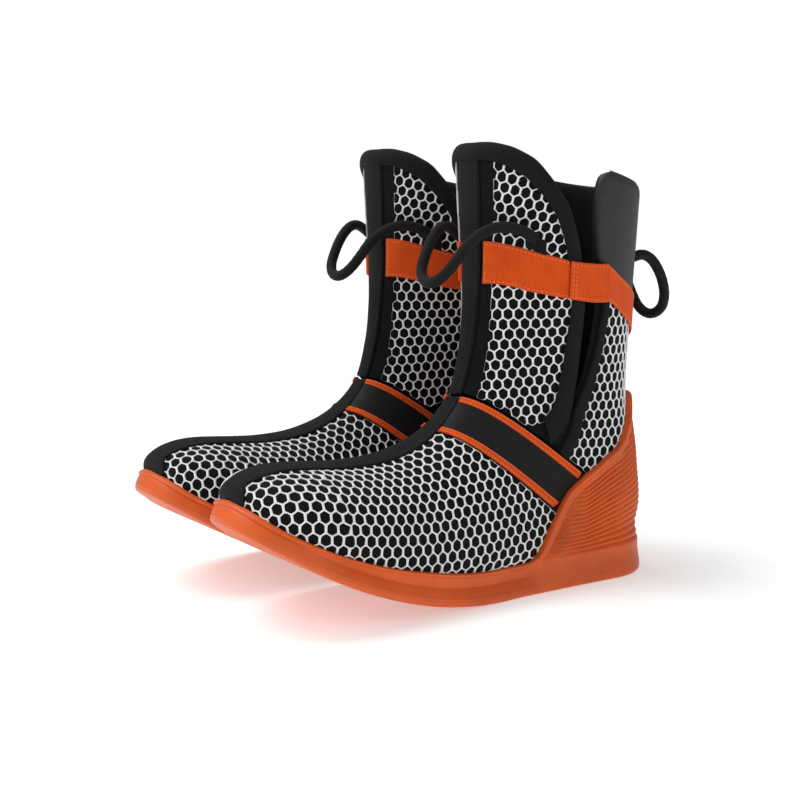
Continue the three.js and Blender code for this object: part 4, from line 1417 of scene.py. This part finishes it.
class BOOTS_OT_nets(BootOperator):
    """Cut the textile panels and lay the open hexagon net on them"""
    bl_idname = "boots.nets"
    bl_label = "Net panels"

    def execute(self, context):
        sizes = context.scene.boot_sizes
        pitch, row, strand = sizes.net_pitch / MM, sizes.net_row / MM, sizes.strand / MM
        quarter = cuff_at(QUARTER_TOP - 0.01, 180 - SEAM / 3, QUARTER_FRONT)
        tongue, tongue_net = tongue_at(SEAM, 85.5, TONGUE_HEM), tongue_at(SEAM, 80.5, TONGUE_NET)
        # knit, net, body, pattern's grid, net's ranges of s and t, the column that runs
        # straight up the pattern, the net's turn on it and its scale
        panels = {
            "vamp": (vamp_at, vamp_at, "boots", (56, 64), (0.03, 1.0), (0.02, 0.985), 0.4,
                     math.pi / 2, 1.05),
            "tongue": (tongue, tongue_net, "tongue", (40, 56), (0.16, 1.0), (0.0, 0.965), 0.12,
                       0.0, 1.0),
            "quarter": (quarter, quarter, "boots", (44, 48), (0.03, 1.0), (0.0, 1.0), 0.9,
                        0.0, 1.0),
        }
        for name, (knit_at, net_at, body, grid, across_net, up_net, column, turn,
                   scale) in panels.items():
            blend = TONGUE_BLEND if body == "tongue" else None
            for hand, turned, _sign in HANDS:
                node = f"{name}_{hand}"
                if hand == "medial":
                    across_net = (1 - across_net[1], 1 - across_net[0])
                    column = 1 - column
                sew_on(f"{node}_knit", turned(knit_at), (48, 48), body, [node], "net",
                       "textile", blend, top=-0.62, drop=0.25, thick=0.7, margins=(0.012, 0.012))
                pattern = Pattern(turned(net_at), grid, across_net, up_net, column)
                net = net_piece(f"{node}_net", pattern, pitch * scale, row * scale, strand, turn)
                put_on_boots(net, f"{node}_net", body, [], "net", 75, blend=blend)
        return {"FINISHED"}


def spine_at(s, t):
    u = toe_row(t, TONGUE_LOW[0][1] - 2 * STITCH_GAP, 0.02)
    half = along(SPINE_HALF, u)
    return u, lerp(-half, half, s)


def tongue_spine_at(s, t):
    u = lerp(TONGUE_LOW[0][1] - 0.02, 11.42, t)
    half = along(SPINE_HALF, u)
    return u + 0.05 * np.abs(2 * s - 1), lerp(-half, half, s)


def low_binding_at(s, t):
    deg = lerp(11.5, 86.5, s)
    return elastic_low(deg) + BINDING_WIDE * (t - 0.5), deg


def high_binding_at(s, t):
    deg = lerp(10.5, 86.5, s)
    return elastic_high(deg) - STITCH_GAP + BINDING_WIDE * (t - 1), deg


def piping_at(s, t):
    u = lerp(PIPING_LINE[0][0] - 0.2, PIPING_LINE[-1][0] + 0.3, t)
    return u, along(PIPING_LINE, u) + lerp(-2.6, 2.9, s)


def strap_at(first, end):
    """The strap's webbing between two places round the cuff."""
    def at(s, t):
        deg = lerp(first, end, s)
        side = folded(deg)
        return lerp(along(STRAP_LOW, side), along(STRAP_HIGH, side), t), deg
    return at


def rows_of(at, fixed, value, count=60, first=0.02, end=0.98):
    """A line of stitches: one coordinate of a piece fixed, the other running."""
    run = np.linspace(first, end, count)
    still = np.full(count, value)
    return at(run, still) if fixed == "t" else at(still, run)


def band_crown(s, t):
    return 0.55 * np.sin(np.clip(t, 0, 1) * math.pi) ** 0.7


class BOOTS_OT_bands(BootOperator):
    """Sew on the instep elastic, its woven bindings, the spine tapes and the piping"""
    bl_idname = "boots.bands"
    bl_label = "Bands and tapes"

    def execute(self, context):
        pitch = context.scene.boot_sizes.stitch / MM
        for hand, turned, sign in HANDS:
            sew_on(f"elastic_{hand}_band", turned(elastic_at), (60, 14), "boots",
                   [f"elastic_{hand}"], "elastic", "elastic", top=0.05, drop=0.5, thick=1.3,
                   margins=(0.012, 0.05), crown=band_crown)
            for name, at in (("binding_low", low_binding_at), ("binding_high", high_binding_at)):
                node = f"{name}_{hand}"
                sew_on(f"{node}_tape", turned(at), (72, 6), "boots", [node], "orange_webbing",
                       "webbing", top=1.35, drop=1.35, thick=1.0, margins=(0.012, 0.2))
                rows = [rows_of(at, "t", t) for t in (0.2, 0.8)]
                stitch_on(f"{node}_stitches", [(u, sign * deg, 1.32) for u, deg in rows],
                          pitch * 0.8, "boots", "orange_thread", length=1.7)
            sew_on(f"piping_{hand}_tape", turned(piping_at), (8, 60), "boots",
                   [f"piping_{hand}"], "black_tape", "tape", top=1.5, drop=1.7, thick=1.0,
                   margins=(0.25, 0.02))
        sew_on("vamp_spine_tape", spine_at, (24, 96), "boots", ["vamp_spine"], "black_tape",
               "tape", top=1.15, drop=1.2, thick=1.0, margins=(0.06, 0.008))
        sew_on("tongue_spine_tape", tongue_spine_at, (14, 80), "tongue", ["tongue_spine"],
               "black_tape", "tape", TONGUE_BLEND, top=1.2, drop=1.3, thick=1.0,
               margins=(0.1, 0.008))
        tapes = (("vamp_spine_stitches", spine_at, 0.25, "boots", None),
                 ("tongue_spine_stitches", tongue_spine_at, 0.02, "tongue", TONGUE_BLEND))
        for name, at, first, body, blend in tapes:
            rows = [(*rows_of(at, "s", s, 120, first), 1.15) for s in (0.14, 0.86)]
            stitch_on(name, rows, pitch, body, "black_thread", blend, width=0.4)
        return {"FINISHED"}


def rolled_edge(name, line, outer, inner, reach_out, reach_in, nx):
    """Binding folded over a padded edge: from outer over the edge to inner. line(s, inset)
    gives the face place at that inset, in millimetres, inside the piece's outline."""
    centre, half = (outer + inner) / 2, (outer - inner) / 2
    profile = [(reach_out, outer - 0.9), (reach_out - 0.5, outer - 0.15)]
    profile += [(i, outer) for i in np.linspace(reach_out - 1.1, half, 4)]
    for a in np.linspace(90, -90, 11)[1:-1]:
        profile.append((half - half * math.cos(math.radians(a)) * 1.02,
                        centre + half * math.sin(math.radians(a))))
    profile += [(i, inner) for i in np.linspace(half, reach_in, 4)]
    s = np.linspace(0, 1, nx + 1)
    points = []
    for inset, off in profile:
        u, deg = line(s, inset)
        points.append(skin(u, deg, off))
    obj = grid_piece(name, np.array(points)[::-1])
    apply(obj, "SOLIDIFY", thickness=MM, offset=-1.0)
    return obj


def tongue_line(s, inset):
    """The tongue's outline, drawn in toward its middle by an inset in millimetres."""
    edge = np.array(TONGUE_EDGE)
    k = 1 - np.abs(2 * s - 1)
    place = np.linspace(0, 1, 400)
    run = np.linspace(0, 1, len(edge))
    kernel = np.ones(15) / 15
    u, deg = (np.convolve(np.pad(np.interp(place, run, edge[:, c]), 7, mode="reflect",
                                 reflect_type="odd"), kernel, "valid") for c in (0, 1))
    factor = 1 - (inset - 0.6) / 63
    u = 9 + (np.interp(k, place, u) - 9) * factor
    deg = np.interp(k, place, deg) * factor
    return u, np.where(s < 0.5, -deg, deg)


class BOOTS_OT_tongue(BootOperator):
    """Bind the tongue's edge and sew the orange patches on it"""
    bl_idname = "boots.tongue"
    bl_label = "Tongue edge and patches"

    def execute(self, context):
        pitch = context.scene.boot_sizes.stitch / MM
        obj = rolled_edge("tongue_binding", tongue_line, outer=1.1, inner=-8.6, reach_out=7.0,
                          reach_in=6.5, nx=200)
        put_on_boots(obj, "tongue_edge_binding", "tongue", ["tongue_binding"],
                     "tape", blend=TONGUE_BLEND)
        seam = tongue_line(np.linspace(0.02, 0.98, 160), 6.2)
        stitch_on("tongue_edge_stitches", [(*seam, 0.9)], pitch, "tongue",
                  "black_thread", TONGUE_BLEND, width=0.4)
        patch = strap_at(PATCH_START, PATCH_END)
        rows = [rows_of(patch, "t", t, 60, 0.035, 0.9) for t in (0.07, 0.93)]
        rows.append(rows_of(patch, "s", 0.04, 30, 0.08, 0.92))
        for hand, turned, sign in HANDS:
            name = f"tongue_patch_{hand}"
            sew_on(f"{name}_webbing", turned(patch), (48, 20), "tongue", [name],
                   "orange_webbing", "webbing", top=1.45, drop=1.5, thick=1.1,
                   margins=(0.03, 0.05))
            stitch_on(f"{name}_stitches", [(u, sign * deg, 1.42) for u, deg in rows], pitch,
                      "tongue", "orange_thread")
        return {"FINISHED"}


def bridge_blend():
    """Two places on the face, near the cuff and near the tongue, given as the strap's inner
    bridge's blend.
    """
    places = skin(np.array([9.9, 9.7]), np.array([-99.0, -80.0]), 0.0)
    return tuple(tuple(float(x) for x in place) for place in places)


def strap_lift(deg):
    """How far the strap's outer face stands off the boot at each place round it."""
    side = folded(deg)
    return 1.7 + 1.7 * smooth(side, 58, 73) * (1 - smooth(side, 98, 114))


class BOOTS_OT_strap(BootOperator):
    """Sew the cuff strap, its flap over the gap beside the tongue and its inner bridge"""
    bl_idname = "boots.strap"
    bl_label = "Cuff strap"

    def execute(self, context):
        pitch = context.scene.boot_sizes.stitch / MM
        # name, first and last degree, body, nodes, columns, edge margin, stitches across it
        runs = [
            ("strap_flap", FLAP_START, FLAP_HINGE, "flap", ["strap_flap"], 40, 0.035,
             (0.07, 0.14)),
            ("strap_back", FLAP_HINGE, STRAP_END, "boots", ["strap_back"], 120, 0.004, ()),
            ("strap_bridge", BRIDGE_START, BRIDGE_END, "boots", [], 40, 0.035, (0.86, 0.95)),
        ]
        for name, first, end, body, nodes, columns, rim, seams in runs:
            at = strap_at(first, end)

            def crown(s, _t, start=first, stop=end):
                return strap_lift(lerp(start, stop, s))
            blend = bridge_blend() if name == "strap_bridge" else None
            sew_on(f"{name}_webbing", at, (columns, 20), body, nodes, "orange_webbing",
                   "webbing", blend, top=0.0, drop=0.55, thick=1.2, margins=(rim, 0.05),
                   crown=crown)
            rows = [rows_of(at, "t", t, 100, 0.01, 0.99) for t in (0.07, 0.93)]
            rows += [rows_of(at, "s", s, 30, 0.08, 0.92) for s in seams]
            paths = [(u, deg, strap_lift(deg) - 0.02) for u, deg in rows]
            stitch_on(f"{name}_stitches", paths, pitch, body,
                      "orange_thread", blend)
        return {"FINISHED"}


def calf_half_at(s, t):
    u = lerp(QUARTER_TOP - 0.02, CUFF_TOP + 0.015, t)
    return u, lerp(along(CUFF_FRONT, u) - 0.6, 180, s)


def rear_anchor_at(s, t):
    return lerp(10.33, 11.0, t), lerp(158, 202, s)


def front_anchor_at(s, t):
    return lerp(9.88, 10.16, t), lerp(46, 59, s)


def calf_panel():
    """The coated panel round the calf, which turns in over the cuff's edges."""
    s, fs = edge_samples(96, 0.03)
    t, ft = edge_samples(40, 0.09)
    ft[:len(ft) // 2] = 1
    u, deg = round_back(calf_half_at)(*np.meshgrid(s, t))
    full = np.minimum(fs[None, :], ft[:, None])
    obj = grid_piece("calf_panel", skin(u, deg, -4.4 + 4.75 * full))
    apply(obj, "SOLIDIFY", thickness=1.1 * MM, offset=-1.0)
    return obj


class BOOTS_OT_cuff(BootOperator):
    """Wrap the calf panel over the cuff's edge and sew on the cords' webbing anchors"""
    bl_idname = "boots.cuff"
    bl_label = "Calf panel and anchors"

    def execute(self, context):
        pitch = context.scene.boot_sizes.stitch / MM
        put_on_boots(calf_panel(), "calf_panel_leather", "boots", ["back_panel"],
                     "leather", 50)
        sew_on("rear_loop_anchor", rear_anchor_at, (24, 16), "boots", [], "black_tape", "tape",
               top=1.9, drop=1.4, thick=1.3, margins=(0.06, 0.08))
        rows = [rows_of(rear_anchor_at, "s", s, 30, 0.1, 0.9) for s in (0.08, 0.92)]
        rows += [rows_of(rear_anchor_at, "t", t, 30, 0.1, 0.9) for t in (0.12, 0.88)]
        stitch_on("rear_anchor_stitches", [(*row, 1.88) for row in rows], pitch, "boots",
                  "black_thread", width=0.4)
        for hand, turned, _sign in HANDS:
            sew_on(f"front_loop_anchor_{hand}", turned(front_anchor_at), (20, 14), "tongue", [],
                   "black_tape", "tape", top=1.35, drop=1.2, thick=1.2, margins=(0.1, 0.12))
        return {"FINISHED"}


SKY_LIGHT, SKY_SEEN = 0.42, 1.0        # the background as light, and as the camera sees it
SUN_STRENGTH, SUN_SOFTNESS, SUN_TILT = 1.75, 35, (18, -22)
LAMPS = (("key", (-0.2, -1.35, 1.15), 0.7, 7.0), ("fill", (1.5, 0.1, 0.9), 1.0, 4.0))
LAMP_AIM = Vector((0, 0, 0.12))


def studio_world():
    """A white background that lights the boots more softly than it looks."""
    world = bpy.data.worlds.new("studio")
    world.use_nodes = True
    nodes, links = world.node_tree.nodes, world.node_tree.links
    seen, lit = nodes["Background"], nodes.new("ShaderNodeBackground")
    seen.inputs["Color"].default_value = (1, 1, 1, 1)
    seen.inputs["Strength"].default_value = SKY_SEEN
    lit.inputs["Strength"].default_value = SKY_LIGHT
    rays, pick = nodes.new("ShaderNodeLightPath"), nodes.new("ShaderNodeMixShader")
    links.new(rays.outputs["Is Camera Ray"], pick.inputs["Fac"])
    links.new(lit.outputs[0], pick.inputs[1])
    links.new(seen.outputs[0], pick.inputs[2])
    links.new(pick.outputs[0], nodes["World Output"].inputs["Surface"])
    return world


class BOOTS_OT_stage(BootOperator):
    """Lay a pale floor and light the pair softly, and dress the nodes that stay"""
    bl_idname = "boots.stage"
    bl_label = "Stage"

    def execute(self, context):
        for side in SIDES:
            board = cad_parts[f"{side}_sole_board"]
            board.data.materials.clear()
            board.data.materials.append(finishes()["board"])
        deselect()
        bpy.ops.mesh.primitive_plane_add(size=14.0, location=(0, 0, 0))
        floor = context.object
        floor.name = "studio_floor"
        floor.data.materials.append(finishes()["floor"])
        context.scene.world = studio_world()
        context.scene.view_settings.view_transform = "Standard"
        deselect()
        tilt = [math.radians(turn) for turn in SUN_TILT]
        bpy.ops.object.light_add(type="SUN", rotation=(*tilt, 0))
        context.object.name = "sky_light"
        context.object.data.energy = SUN_STRENGTH
        context.object.data.angle = math.radians(SUN_SOFTNESS)
        for name, place, size, power in LAMPS:
            deselect()
            bpy.ops.object.light_add(type="AREA", location=place)
            lamp = context.object
            lamp.name = f"{name}_light"
            lamp.data.size = size
            lamp.data.energy = power
            aim = LAMP_AIM - lamp.location
            lamp.rotation_euler = aim.to_track_quat("-Z", "Y").to_euler()
        return {"FINISHED"}


STEPS = (BOOTS_OT_camera, BOOTS_OT_cords, BOOTS_OT_sole, BOOTS_OT_sock, BOOTS_OT_nets,
         BOOTS_OT_bands, BOOTS_OT_tongue, BOOTS_OT_strap, BOOTS_OT_cuff, BOOTS_OT_stage)


class BOOTS_PT_panel(bpy.types.Panel):
    """Lists the boots' sizes, colours and making steps"""
    bl_idname = "BOOTS_PT_panel"
    bl_label = "Ski Inner Boots"
    bl_space_type = "VIEW_3D"
    bl_region_type = "UI"
    bl_category = "Boots"

    def draw(self, context):
        for group in (context.scene.boot_sizes, context.scene.boot_colours):
            box = self.layout.box()
            for name in group.__annotations__:
                box.prop(group, name)
        for step in STEPS:
            self.layout.operator(step.bl_idname)


CLASSES = (BootSizes, BootColours, *STEPS, BOOTS_PT_panel)


def register():
    for cls in CLASSES:
        bpy.utils.register_class(cls)
    bpy.types.Scene.boot_sizes = bpy.props.PointerProperty(type=BootSizes)
    bpy.types.Scene.boot_colours = bpy.props.PointerProperty(type=BootColours)


def unregister():
    del bpy.types.Scene.boot_sizes
    del bpy.types.Scene.boot_colours
    for cls in reversed(CLASSES):
        bpy.utils.unregister_class(cls)


def main():
    register()
    for step in STEPS:
        group, name = step.bl_idname.split(".")
        getattr(getattr(bpy.ops, group), name)()


if __name__ == "__main__":
    main()
